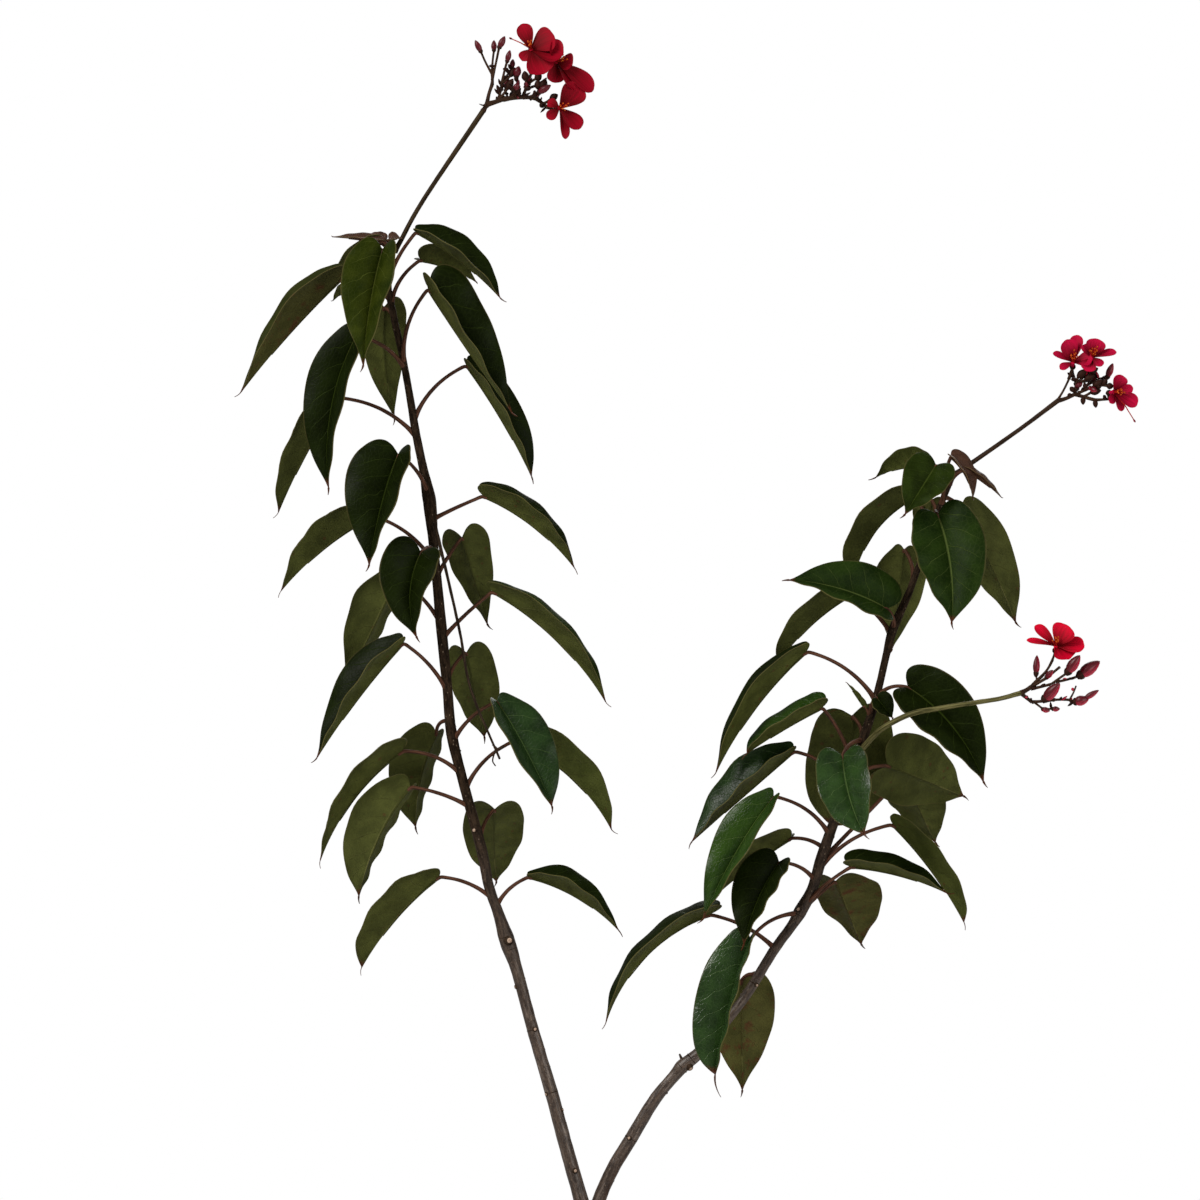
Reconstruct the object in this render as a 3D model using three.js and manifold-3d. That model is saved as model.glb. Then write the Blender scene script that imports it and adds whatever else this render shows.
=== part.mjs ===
// A potted peregrina at life size, in millimetres, +Z up.
// The origin is the centre of the pot's underside. The plant is seen from the front by looking along +Y.
// Two woody stems fork just above the rim. Each carries long-stalked heart-shaped leaves, folded along the
// midrib, and slender flower stalks that end in clusters of buds and red five-petalled flowers.

import * as THREE from 'three';
import { mergeVertices } from 'three/addons/utils/BufferGeometryUtils.js';
import Module from 'manifold-3d';

const wasm = await Module();
wasm.setup();

// Pot
const POT_HEIGHT = 210;
const POT_RIM_RADIUS = 130;
const POT_BASE_RADIUS = 88;
const POT_WALL = 7;
const POT_FLOOR = 10;
const RIM_BAND_HEIGHT = 34;
const RIM_BAND_OUT = 6;
const EDGE_ROUND = 2.5;
const DRAIN_HOLES = 3;
const DRAIN_RADIUS = 6;
const DRAIN_RING_RADIUS = 46;
const POT_SIDES = 32;

// Soil
const SOIL_DROP = 26;
const SOIL_MOUND = 3;
const SOIL_SHOULDER = 0.6;
const CLEARANCE = 0.3;
const MERGE_DISTANCE = 0.0001;
const WELD_DISTANCE = 0.002;

// Plant. Heights in the tables below are measured up from the fork, and widths to the right of it.
const FORK_HEIGHT = 250;
const STEM_SIDES = 7;
const STALK_SIDES = 3;
const BUD_SIDES = 4;

// Leaves
const BLADE_THICKNESS = 0.9;
const BLADE_STATIONS = 7;
const YOUNG_STATIONS = 3;
const BLADE_COLUMNS = [1, 0, -1];
const PETIOLE_ROOT_RADIUS = 1.6;
const PETIOLE_END_RADIUS = 1.1;
const PETIOLE_STEPS = 3;
const PETIOLE_SEAT = 0.35;
const MIDRIB_REACH = 0.03;
const OUTLINE_TENSION = 0.5;
// Where along the midrib's chord it bends, and by how many times the leaf's bow
const MIDRIB_BENDS = [[0.33, 1.45], [0.72, 1.2]];

// How far from the blade's base, as a share of its length, the heart shape is felt
const BASE_REACH = 0.35;

// Half of a blade's outline: where its side vein leaves the midrib, how far along the blade its margin
// point lies (shares of the length) and how far across (share of the half width)
const BLADE_OUTLINE = [
  [0.0, -0.03, 0.1],
  [0.004, -0.065, 0.24],
  [0.012, -0.085, 0.44],
  [0.03, -0.06, 0.66],
  [0.07, 0.015, 0.85],
  [0.15, 0.13, 0.97],
  [0.26, 0.27, 1.0],
  [0.4, 0.43, 0.92],
  [0.56, 0.6, 0.73],
  [0.72, 0.755, 0.46],
  [0.86, 0.88, 0.2],
  [0.945, 0.95, 0.075],
  [1.0, 1.0, 0.015],
];

// Flowers
const PETAL_THICKNESS = 0.8;
const PETAL_OUTLINE = [0.1, 0.55, 1, 0.45];
const PETAL_ROOT = 0.8;
const PETAL_BOW = 0.24;
const FLOWER_TUBE_LENGTH = 4;
const FLOWER_TUBE_RADIUS = 1.7;
const FLOWER_TUBE_SIDES = 5;
const CALYX_LENGTH = 3.6;
const CALYX_RADIUS = 2.2;
const CALYX_BELLY = 0.9;
const CALYX_SEAT = 0.8;
const STAMEN_LENGTH = 5;
const STAMEN_RADIUS = 1.5;
const STAMEN_FOOT = 0.6;
const THROAT_RISE = 0.6;
const THROAT_FLARE = 1.3;
const PETAL_CROWN = 0.12;
const FLOWER_NECK_RADIUS = 1;
const STALK_TAPER = 0.85;
const BUD_SHAPE = [[0, 0.55], [0.4, 1], [1, 0.25]];

const MATERIALS = {
  pot: { color: 0xa4603f, roughness: 0.85, metalness: 0 },
  soil: { color: 0x35271c, roughness: 0.95, metalness: 0 },
  wood: { color: 0x4a3c33, roughness: 0.65, metalness: 0 },
  leaf: { color: 0x2c4a1c, roughness: 0.45, metalness: 0 },
  cyme: { color: 0x46301f, roughness: 0.6, metalness: 0 },
  petal: { color: 0xb40c24, roughness: 0.5, metalness: 0 },
};

// Stems as [across, up, radius], with the share of its height that each leans away from the viewer
const TRUNK = {
  lean: 0,
  points: [[1, -124, 8.4], [0.6, -92, 9], [0.2, -62, 8.8], [0, -30, 8.4], [0, -8, 7.6]],
};
const LEFT_STEM = {
  lean: 0.03,
  points: [
    [-1, -20, 6.4], [-6.3, 0, 5.2], [-17, 38, 4.8], [-27, 75, 4.6], [-40, 119, 4.2], [-51, 160, 4.2],
    [-58, 181, 5.5], [-64, 200, 3.9], [-71, 220, 3.6], [-76, 245, 3.8], [-89, 293, 3.5], [-97, 326, 3.8],
    [-100, 358, 3.5], [-104, 398, 3.8], [-107, 430, 3.5], [-110, 461, 3.4], [-112.7, 490, 4.7],
    [-117, 512, 3.1], [-122.5, 539, 2.9], [-127, 566, 2.6], [-132, 593, 2.5], [-138, 620, 2.5],
    [-141.5, 641, 2.3], [-139, 668, 2.0],
  ],
};
const RIGHT_STEM = {
  lean: -0.03,
  points: [
    [1.5, -18, 6], [6.3, 0, 4.7], [16, 22, 4.6], [28.7, 43, 4.6], [45, 70, 4.3], [59, 87, 4.2],
    [65, 94, 4.9], [76, 103, 4.1], [90, 119, 3.7], [103, 135, 3.4], [113.5, 150, 3.5], [128, 174, 3.5],
    [141, 192, 3.6], [147, 202, 4.6], [155.5, 218, 3.8], [162, 240, 4], [171, 266, 3.5], [180, 292, 3.4],
    [189, 318, 3.3], [195, 335, 3.1], [200, 351, 2.8], [206.5, 379, 2.6], [211.5, 399, 3.2],
    [222, 423, 2.6], [228, 439, 2.3], [246, 489, 2.3], [254, 508, 2.0],
  ],
};
// A dry, leafless old flower stalk that hangs in front of the left stem, as [across, up, away]
const OLD_STALK = {
  radii: [1.5, 1.1, 1, 0.9, 0.8],
  points: [[-109, 474, -3], [-101, 442, -9], [-91, 398, -13], [-83, 357, -16], [-63, 309, -17]],
};

// Every grown leaf: name, stem, height of its root on the stem, blade base and tip as [across, up],
// how far base and tip lie behind the stem, then the blade's full width, its roll about the midrib
// (0 shows the upper face to the viewer, 90 stands on edge, 180 shows the underside), the angle by which
// each half is folded up, how far the midrib bows outward, how high its stalk arches (share of the stalk's
// length), how far its widest part is moved towards the tip, and how heart-shaped its base is.
const LEAVES = [
  ['leaf_left_01', LEFT_STEM, 640, [-174, 646], [-245, 566], [-4, -4], 49, 80, 50, 2, 0.2, -0.15, 0.7],
  ['leaf_left_02', LEFT_STEM, 656, [-145, 665], [-158, 584], [-28, -54], 49.5, 25, 33, 2, 0.2, -0.2, 1.2],
  ['leaf_left_03', LEFT_STEM, 609.5, [-145, 626], [-138, 549], [18, 32], 31.5, 184, 12, -3, 0.2, -0.2, 1.2],
  ['leaf_left_04', LEFT_STEM, 583, [-163.5, 605], [-183, 499], [-16, -26], 44, 38, 32, 8, 0.2, 0.15, 0.7],
  ['leaf_left_05', LEFT_STEM, 534.5, [-177, 562], [-219, 482], [10, 8], 43, 89, 46, 2, 0.2, 0.5, 1.2],
  ['leaf_left_06', LEFT_STEM, 494, [-134, 522], [-154, 445], [-26, -44], 61, 37, 34, 2, 0.15, -0.1, 0.9],
  ['leaf_left_07', LEFT_STEM, 444, [-152.5, 479], [-216.5, 427], [2, 0], 50.5, 90, 46, 4, 0.2, 0.2, 0.5],
  ['leaf_left_08', LEFT_STEM, 451, [-118, 453], [-121, 395], [-34, -56], 50, 18, 35, 6, 0.28, -0.2, 1],
  ['leaf_left_09', LEFT_STEM, 403, [-135.5, 436], [-172, 361], [16, 18], 50, 128, 23, 0, 0.12, 0, 0.65],
  ['leaf_left_10', LEFT_STEM, 355, [-131, 390], [-191, 310], [-12, -14], 47.5, 67, 44, 2, 0.14, 0, 0.5],
  ['leaf_left_11', LEFT_STEM, 335.5, [-108, 326.5], [-123, 260.5], [22, 28], 49, 140, 33, 4, 0.27, 0.3, 0.7],
  ['leaf_left_12', LEFT_STEM, 298, [-132, 314], [-189, 238], [-8, -8], 44, 92, 34, 7, 0.21, 0, 0.95],
  ['leaf_left_13', LEFT_STEM, 275, [-126, 289], [-162, 213], [-6, -6], 52, 132, 32, 5, 0.1, 0.4, 0.65],
  ['leaf_left_14', LEFT_STEM, 210, [-106, 226], [-160, 163], [-2, -2], 49.5, 92, 46, 4, 0.18, 0.8, 0.5],
  ['leaf_left_15', LEFT_STEM, 645.5, [-121.5, 678], [-63, 632], [-12, -14], 36, 65, 40, 3, 0.1, 0.4, 0.45],
  ['leaf_left_16', LEFT_STEM, 586, [-113, 638], [-55, 552], [-16, -20], 52, 56, 47, -1, 0.2, 0, 1.2],
  ['leaf_left_17', LEFT_STEM, 546, [-86.5, 585], [-41, 507], [14, 12], 35, 62, 46, 2, 0.2, 0.5, 0.65],
  ['leaf_left_18', LEFT_STEM, 476, [-74.5, 493], [-11, 443], [0, -2], 38, 82, 44, 5, 0.03, 0.3, 0.9],
  ['leaf_left_19', LEFT_STEM, 436, [-90, 464], [-72.5, 403.5], [16, 36], 36, 170, 32, 0, 0.05, -0.2, 1.2],
  ['leaf_left_20', LEFT_STEM, 393, [-68, 426], [11, 349], [-4, -6], 39, 85, 42, 7, 0.05, 0.4, 0.7],
  ['leaf_left_21', LEFT_STEM, 358, [-87, 383], [-74.5, 324], [16, 36], 39, 170, 31, 0, 0.2, 0.4, 1],
  ['leaf_left_22', LEFT_STEM, 321, [-65, 349], [-26.5, 276.5], [-16, -32], 44, 40, 30, 2, 0.17, 0.4, 0.55],
  ['leaf_left_23', LEFT_STEM, 287, [-53, 321], [15, 259.5], [12, 10], 52, 100, 40, 8, 0.2, 0.4, 1],
  ['leaf_left_24', LEFT_STEM, 246, [-67, 273], [-66.5, 221], [22, 78], 44, 186, 12, -1, 0.2, 0.25, 1],
  ['leaf_left_25', LEFT_STEM, 205, [-42.5, 226], [20, 189], [0, -2], 38, 75, 42, 5, 0.2, 0.05, 0.35],
  ['leaf_right_01', RIGHT_STEM, 495, [236, 513], [200, 506], [8, 14], 34, 115, 30, 3, 0.18, 0, 0.85],
  ['leaf_right_02', RIGHT_STEM, 487, [241, 514], [217, 476.5], [-20, -44], 42.5, 15, 22, 0, 0.2, -0.05, 1.2],
  ['leaf_right_03', RIGHT_STEM, 462, [227, 492], [184, 431], [14, 20], 44, 95, 42, 9, 0.2, 0.7, 0.8],
  ['leaf_right_04', RIGHT_STEM, 480, [242, 479.5], [251, 405], [-26, -50], 55.5, 10, 23, 4, 0.2, 0.25, 0.9],
  ['leaf_right_05', RIGHT_STEM, 492, [260, 482], [298, 405], [10, 20], 42, 165, 34, 2, 0.2, 0.25, 0.9],
  ['leaf_right_06', RIGHT_STEM, 400, [206.5, 414], [139, 434], [-18, -32], 47.5, 40, 30, 4, 0.2, 0, 1],
  ['leaf_right_07', RIGHT_STEM, 430, [220, 455.5], [212, 386], [16, 34], 39, 180, 20, 0, 0.2, -0.1, 0.5],
  ['leaf_right_08', RIGHT_STEM, 396, [183, 424], [131, 375], [14, 14], 38, 95, 45, 4, 0.11, 0.65, 0.8],
  ['leaf_right_09', RIGHT_STEM, 350, [151, 384], [88, 300], [-2, -4], 37.5, 82, 48, 5, 0.2, 0.15, 0.6],
  ['leaf_right_10', RIGHT_STEM, 302.5, [162, 345], [109.5, 313], [-6, -6], 32.5, 86, 45, 1, 0.13, 0.85, 1.2],
  ['leaf_right_11', RIGHT_STEM, 286.5, [142, 314], [71.5, 251.5], [4, 2], 50.5, 69, 39, 0, 0.27, 0.25, 0.5],
  ['leaf_right_12', RIGHT_STEM, 256, [128, 283], [79, 199], [-22, -32], 41, 42, 33, 3, 0.2, 0.05, 0.5],
  ['leaf_right_13', RIGHT_STEM, 246, [140, 253], [91, 216], [10, 14], 40, 107, 26, 1, 0.2, 0.35, 0.8],
  ['leaf_right_14', RIGHT_STEM, 224, [132, 237], [107, 181], [-20, -36], 45, 40, 32, 3, 0.2, 0, 0.9],
  ['leaf_right_15', RIGHT_STEM, 176, [83, 200], [11, 125], [-4, -6], 39, 88, 30, 12, 0.16, 0.3, 1.2],
  ['leaf_right_16', RIGHT_STEM, 201, [112, 184], [87, 90], [-26, -36], 50, 45, 43, 2, 0.2, 0.85, 0.7],
  ['leaf_right_17', RIGHT_STEM, 157, [106, 153], [107, 76], [14, 32], 47.5, 178, 9, 0, 0.3, -0.1, 1],
  ['leaf_right_18', RIGHT_STEM, 294, [208, 304], [262, 282.5], [5, 35], 57.5, 165, 23, 0, 0.2, 0.3, 1],
  ['leaf_right_19', RIGHT_STEM, 237, [220, 296], [244, 249], [38, 74], 45, 153, 16, 0, 0, 0.1, 1.1],
  ['leaf_right_20', RIGHT_STEM, 352, [222, 359], [274, 294], [-10, -24], 51, 17, 30, 7, 0.3, 0, 0.9],
  ['leaf_right_21', RIGHT_STEM, 318, [183.5, 339], [169, 262], [16, 36], 61.5, 170, 4, -5, 0.26, 0.85, 1],
  ['leaf_right_22', RIGHT_STEM, 322, [176, 311], [190, 258], [-28, -60], 43.5, -8, 30, -3, 0.2, 0.5, 1],
  ['leaf_right_23', RIGHT_STEM, 230, [212, 263], [261.5, 195], [-2, -4], 37, 96, 38, 3, 0.2, 0.8, 0.8],
  ['leaf_right_24', RIGHT_STEM, 202.5, [183, 234], [248.5, 216], [-14, -18], 34, 75, 35, 3, 0.1, 0.3, 1.1],
  ['leaf_right_25', RIGHT_STEM, 198.5, [172, 223], [191, 178], [14, 50], 56.5, 150, 22, 0, 0.05, 0, 0.7],
];

// Young leaves at the shoot tips and in the leaf axils, too small for a body of their own
const YOUNG_LEAVES = [
  ['left_short', LEFT_STEM, 629, [-119, 659], [-80, 644], [10, 18], 32, 115, 30, 2, 0.2, 0, 1],
  ['left_long', LEFT_STEM, 660, [-147, 671], [-181, 648], [4, 14], 24, 92, 40, 2, 0.2, 0, 1],
  ['left_bract_1', LEFT_STEM, 664, [-146, 672], [-180, 675], [-4, -4], 13, 70, 30, 0, 0.2, 0, 1],
  ['left_bract_2', LEFT_STEM, 665, [-144, 673], [-158, 676], [3, 5], 12, 60, 30, 0, 0.2, 0, 1],
  ['left_bract_3', LEFT_STEM, 664, [-141, 673], [-133, 674], [-5, -7], 12, 60, 30, 0, 0.2, 0, 1],
  ['left_low', LEFT_STEM, 630, [-168, 642], [-181, 631], [14, 18], 16, 90, 40, 0, 0.2, 0, 1],
  ['right_fold_1', RIGHT_STEM, 500, [252, 520], [267, 491], [-12, -16], 20, 60, 30, 3, 0.2, 0, 1],
  ['right_fold_2', RIGHT_STEM, 501, [262, 511], [287, 492], [-8, -9], 14, 80, 30, 1, 0.2, 0, 1],
  ['right_back', RIGHT_STEM, 474, [239, 490], [235, 457], [12, 16], 25, 180, 18, 0, 0.2, 0, 1],
  ['right_axil_1', RIGHT_STEM, 340, [200, 352], [211, 338], [-15, -14], 18, 20, 30, 0, 0.2, 0, 1],
  ['right_axil_2', RIGHT_STEM, 336, [192, 346], [180, 362], [-4, -6], 10, 90, 30, 0, 0.2, 0, 1],
];

// Flower clusters. A stalk is [start, end, radius] with points as [across, up, away]; a bud is its base
// and tip with a radius; a flower is its centre, the way it faces and its five petals, each with the tip's
// place from the centre as [across, up, away] and the petal's width. Flowers whose petals touch stand in
// one group.
const BLOOMS = {
  bloom_left: {
    stem: LEFT_STEM,
    peduncle: {
      points: [
        [-137, 664, 0], [-133, 672, 0], [-116.6, 701.5, 1], [-75.2, 763.4, 3],
      ],
      radii: [1.9, 1.7, 1.6, 1.9],
    },
    stalks: [
      [[-75.2, 763.4, 3], [-72.4, 768.3, 3], 1.9], [[-72.4, 768.3, 3], [-68.8, 781.7, 3], 1.5],
      [[-68.8, 781.7, 3], [-68.8, 789.4, 3], 1.3], [[-68.8, 789.4, 3], [-76.5, 804.7, 1], 0.9],
      [[-68.8, 789.4, 3], [-67.5, 805.7, 6], 0.9], [[-68.8, 785.2, 3], [-63.9, 807.4, -1], 1],
      [[-64.6, 771.1, 3], [-61.8, 782.9, -1], 1.1], [[-61.8, 782.9, -1], [-58.3, 797.5, -3], 1],
      [[-61.8, 782.9, -1], [-54.8, 793.6, 2], 0.9], [[-72.4, 768.3, 3], [-61.1, 771.8, 3], 2],
      [[-61.1, 771.8, 3], [-47.1, 773.3, 3], 1.9], [[-47.1, 773.3, 3], [-37.3, 771.9, 4], 1.7],
      [[-37.3, 771.9, 4], [-29.5, 765.6, 4], 1.5], [[-57.6, 771.8, 3], [-59.7, 780.4, 6], 0.9],
      [[-52, 772.6, 3], [-53.3, 777.9, -3], 0.9], [[-49.9, 773.3, 3], [-52, 787.1, 0], 1],
      [[-47.1, 773.3, 3], [-42.9, 785.3, 5], 1.3], [[-42.9, 785.3, 5], [-39.4, 795.1, 4], 1.1],
      [[-41.5, 778.3, 5], [-31, 784.2, 11], 1.1], [[-42.2, 773.3, 3], [-36.5, 775.9, -1], 1.1],
    ],
    buds: [
      [[-76.5, 804.7, 1], [-80.7, 813.1, 0], 2.2], [[-67.5, 805.7, 6], [-67.5, 813.5, 7], 2.1],
      [[-63.9, 807.4, -1], [-59.7, 815.8, -2], 2.4], [[-58.3, 797.5, -3], [-56.1, 805.9, -4], 2.1],
      [[-54.8, 793.6, 2], [-54.1, 799.9, 2], 2], [[-52, 787.1, 0], [-49.8, 794.8, -2], 2.8],
      [[-59.7, 780.4, 6], [-57.6, 787.5, 6], 2.5], [[-53.3, 777.9, -3], [-49.8, 782.7, -5], 2.3],
      [[-36.5, 775.9, -1], [-27.4, 781.3, -5], 2.6], [[-42.9, 783.9, 5], [-46.4, 789.4, 3], 2.5],
    ],
    flowers: [
      [
        [[-41.4, 806.5, -6], [-0.15, -0.85, 0.5], [
          [-6.3, 17.5, -2, 10.5], [16.1, 11.9, -4, 17.5], [23.1, -4.2, -6, 19.6], [9.8, -17.5, -7, 18.9],
          [-6.3, -8.4, -3, 8.4],
        ]],
        [[-23.2, 797.5, -3], [0.45, -0.7, 0.35], [
          [-5.6, 14, -9, 12.6], [10.5, 1.4, -3, 12.6], [25.2, -20.3, 2, 12.6], [11.9, -19.6, -3, 12.6],
          [-4.2, -13.3, -2, 9.8],
        ]],
        [[-21.1, 765.2, -3], [0.45, -0.8, 0.1], [
          [14.7, 12.6, -3, 16.8], [14, -14.7, -5, 12.6], [4.2, -21.7, -1, 6.3], [-9.1, -7, -4, 7.7],
          [-8.4, 4.9, 1, 7.7],
        ]],
      ],
    ],
  },
  bloom_right: {
    stem: RIGHT_STEM,
    peduncle: {
      points: [
        [254, 508, 0], [261, 512, 0], [299.4, 538.7, -1], [326.5, 559, -2],
      ],
      radii: [1.9, 1.7, 1.5, 1.7],
    },
    stalks: [
      [[326.1, 559, -2], [334.4, 574.3, -3], 0.9], [[326.1, 559, -2], [338.7, 563.9, -1], 1.6],
      [[338.7, 563.9, -1], [352.6, 559.7, -2], 1.5], [[352.6, 559.7, -2], [362.3, 560.3, -4], 1.2],
      [[338.7, 563.9, -1], [339.5, 570.9, 0], 1.3], [[339.5, 570.9, 0], [337.4, 577.9, 1], 1.1],
      [[339.5, 570.9, 0], [347.3, 577.9, 2], 1.1], [[340.8, 564.6, -1], [349.1, 568, -3], 1.2],
      [[349.1, 568, -3], [358.1, 570.1, -4], 1.1], [[347.3, 570.2, 2], [355.7, 574.4, 3], 1],
      [[355.7, 574.4, 3], [361.2, 575.1, 1], 1], [[342.3, 572.3, 1], [350.9, 573.1, 5], 1],
      [[350.9, 573.1, 5], [352.3, 575.9, 6], 0.9],
    ],
    buds: [
      [[361.2, 575.1, 1], [365.3, 585.5, 0], 2.5], [[352.3, 575.2, 6], [353.8, 580.1, 7], 2],
      [[338, 565.9, -2], [335.1, 568.7, -4], 2], [[344.3, 561.8, -2], [344.3, 556.2, -2], 1.9],
      [[352.6, 559.7, -2], [353.3, 554.1, -2], 1.9], [[349.1, 568, -3], [353.7, 565.8, -9], 2.1],
      [[358.1, 570.1, -4], [360.8, 574.2, -7], 1.9],
    ],
    flowers: [
      [
        [[337.3, 586.2, -1], [0, -0.8, 0.6], [
          [-4.9, 15.4, -5, 13.3], [-14, 6.3, -1, 5.6], [-9.1, -4.9, -4, 6.3], [3.5, 18.9, 2, 9.8],
          [13.3, 2.1, -6, 11.9],
        ]],
        [[350.5, 589.6, -4], [0.2, -0.75, 0.6], [
          [3.5, 12.6, -4, 14], [16.8, 3.5, -3, 7.7], [-6.3, 8.4, -1, 9.8], [-4.2, -9.8, -5, 11.2],
          [6.3, -6.3, -6, 7.7],
        ]],
      ],
      [
        [[365.6, 565.1, -9], [0.6, -0.75, 0.1], [
          [4.9, 11.9, -2, 11.2], [13.3, 2.8, 0, 7], [15.4, -9.8, -4, 13.3], [5.6, -13.3, -1, 7.7],
          [-2.8, -7.7, -4, 7],
        ]],
      ],
    ],
  },
  bloom_side: {
    stem: RIGHT_STEM,
    peduncle: {
      points: [
        [190, 316, -2], [203, 330, -22], [222.6, 340.5, -36], [241.3, 344.5, -41], [266.1, 348.5, -42],
        [284.9, 351.5, -42], [299.8, 355.5, -42],
      ],
      radii: [2.1, 2, 1.9, 1.8, 1.7, 1.6, 1.8],
    },
    stalks: [
      [[299.5, 355.4, -42], [306.5, 359.5, -42], 1.8], [[306.5, 359.5, -42], [313.5, 366.5, -41], 1.3],
      [[313.5, 366.5, -41], [321.2, 377.6, -40], 1.1], [[306.5, 359.5, -42], [318.2, 366.5, -44], 1.3],
      [[318.2, 366.5, -44], [326.5, 373.5, -44], 1.1], [[310.7, 361.6, -41], [310.1, 367.9, -39], 0.8],
      [[306.5, 358.2, -42], [320.9, 361.7, -46], 1.2], [[320.9, 361.7, -46], [331.2, 369.3, -49], 1],
      [[323.7, 363.1, -46], [339.7, 367.2, -45], 1], [[299.5, 355.4, -42], [307.2, 349.1, -42], 1.5],
      [[307.2, 349.1, -42], [316.1, 349.8, -44], 1.3], [[316.1, 349.8, -44], [333.4, 350.6, -46], 1.1],
      [[333.4, 350.6, -46], [337.5, 348.5, -47], 0.9], [[308.6, 349.1, -42], [314.8, 344.3, -42], 0.9],
      [[314.8, 344.3, -42], [321, 344.3, -43], 0.8], [[333.4, 351.2, -46], [337.7, 360.3, -44], 0.7],
    ],
    buds: [
      [[310.1, 367.9, -39], [310.8, 381.8, -38], 2.5], [[316.8, 365.8, -44], [321.5, 371.4, -48], 2.3],
      [[331.2, 369.3, -49], [340, 381.8, -53], 4], [[339.7, 367.2, -45], [354.4, 377.6, -43], 4.6],
      [[315.3, 350.6, -46], [326.1, 362.4, -53], 4.2], [[336.1, 349.2, -47], [346.4, 351.3, -49], 3.7],
      [[343, 351.3, -48], [353.4, 357.5, -49], 2.2], [[314.1, 344.3, -42], [319.6, 342.9, -44], 2.1],
      [[321, 344.3, -43], [326.6, 344.3, -43], 1.8],
    ],
    flowers: [
      [
        [[323.7, 388.1, -45], [0.05, -0.8, 0.6], [
          [-14.7, 14, -1, 7.7], [-20.3, 4.2, 1, 5.6], [6.3, 14.7, -2, 16.8], [18.9, 0.7, -4, 12.6],
          [7.7, -8.4, -7, 16.1],
        ]],
      ],
    ],
  },
};

/** The point that lies so far to the right of the fork, above it and behind it. */
function fromFork(across, up, away = 0) {
  return new THREE.Vector3(across, away, FORK_HEIGHT + up);
}

/** A triangle mesh as a solid that can be joined and cut. */
function toSolid(geometry) {
  const bare = geometry.clone();
  for (const name of Object.keys(bare.attributes)) {
    if (name !== 'position') bare.deleteAttribute(name);
  }
  const merged = mergeVertices(bare, MERGE_DISTANCE);
  return new wasm.Manifold(new wasm.Mesh({
    numProp: 3,
    vertProperties: new Float32Array(merged.attributes.position.array),
    triVerts: new Uint32Array(merged.index.array),
  }));
}

/** The triangles that are left when corners closer than the weld distance become one. */
function weld(points, triangles) {
  const kept = [];
  points.forEach((point, i) => {
    const near = points.findIndex((other, j) => kept[j] === j && point.distanceTo(other) < WELD_DISTANCE);
    kept.push(near < 0 ? i : near);
  });
  const faces = new Map();
  for (let i = 0; i < triangles.length; i += 3) {
    const face = [0, 1, 2].map((k) => kept[triangles[i + k]]);
    const key = [...face].sort((a, b) => a - b).join();
    if (new Set(face).size < 3) continue;
    if (faces.has(key)) faces.delete(key);
    else faces.set(key, face);
  }
  return [...faces.values()].flat();
}

/** A solid as a triangle mesh. */
function toGeometry(solid) {
  const mesh = solid.getMesh();
  const positions = new THREE.BufferAttribute(mesh.vertProperties, 3);
  const pointAt = (_, i) => new THREE.Vector3().fromBufferAttribute(positions, i);
  const points = Array.from({ length: positions.count }, pointAt);
  const geometry = new THREE.BufferGeometry();
  geometry.setAttribute('position', positions);
  geometry.setIndex(weld(points, mesh.triVerts));
  geometry.computeVertexNormals();
  return geometry;
}

/** The largest connected body of a solid, without the crumbs that a cut leaves. */
function largestBody(solid) {
  return solid.decompose().reduce((best, body) => (body.volume() > best.volume() ? body : best));
}

/** All solids joined into one. */
function join(solids) {
  return solids.reduce((whole, solid) => whole.add(solid));
}

/** A closed round tube through the points, with a radius at each. */
function tube(points, radii, sides) {
  const positions = [];
  const index = [];
  const tangents = points.map((point, i) => {
    const after = points[Math.min(i + 1, points.length - 1)];
    const before = points[Math.max(i - 1, 0)];
    return after.clone().sub(before).normalize();
  });
  let side = new THREE.Vector3(0, 1, 0).cross(tangents[0]).normalize();
  points.forEach((point, i) => {
    side = side.clone().addScaledVector(tangents[i], -side.dot(tangents[i])).normalize();
    const over = tangents[i].clone().cross(side);
    for (let k = 0; k < sides; k += 1) {
      const angle = (2 * Math.PI * k) / sides;
      const spoke = side.clone().multiplyScalar(Math.cos(angle)).addScaledVector(over, Math.sin(angle));
      positions.push(...point.clone().addScaledVector(spoke, radii[i]).toArray());
    }
  });
  const last = points.length - 1;
  positions.push(...points[0].toArray(), ...points[last].toArray());
  const startCentre = points.length * sides;
  for (let k = 0; k < sides; k += 1) {
    const next = (k + 1) % sides;
    for (let i = 0; i < last; i += 1) {
      const a = i * sides + k;
      const b = i * sides + next;
      index.push(a, b, b + sides, a, b + sides, a + sides);
    }
    index.push(startCentre, next, k, startCentre + 1, last * sides + k, last * sides + next);
  }
  const geometry = new THREE.BufferGeometry();
  geometry.setAttribute('position', new THREE.Float32BufferAttribute(positions, 3));
  geometry.setIndex(index);
  return toSolid(geometry);
}

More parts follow.
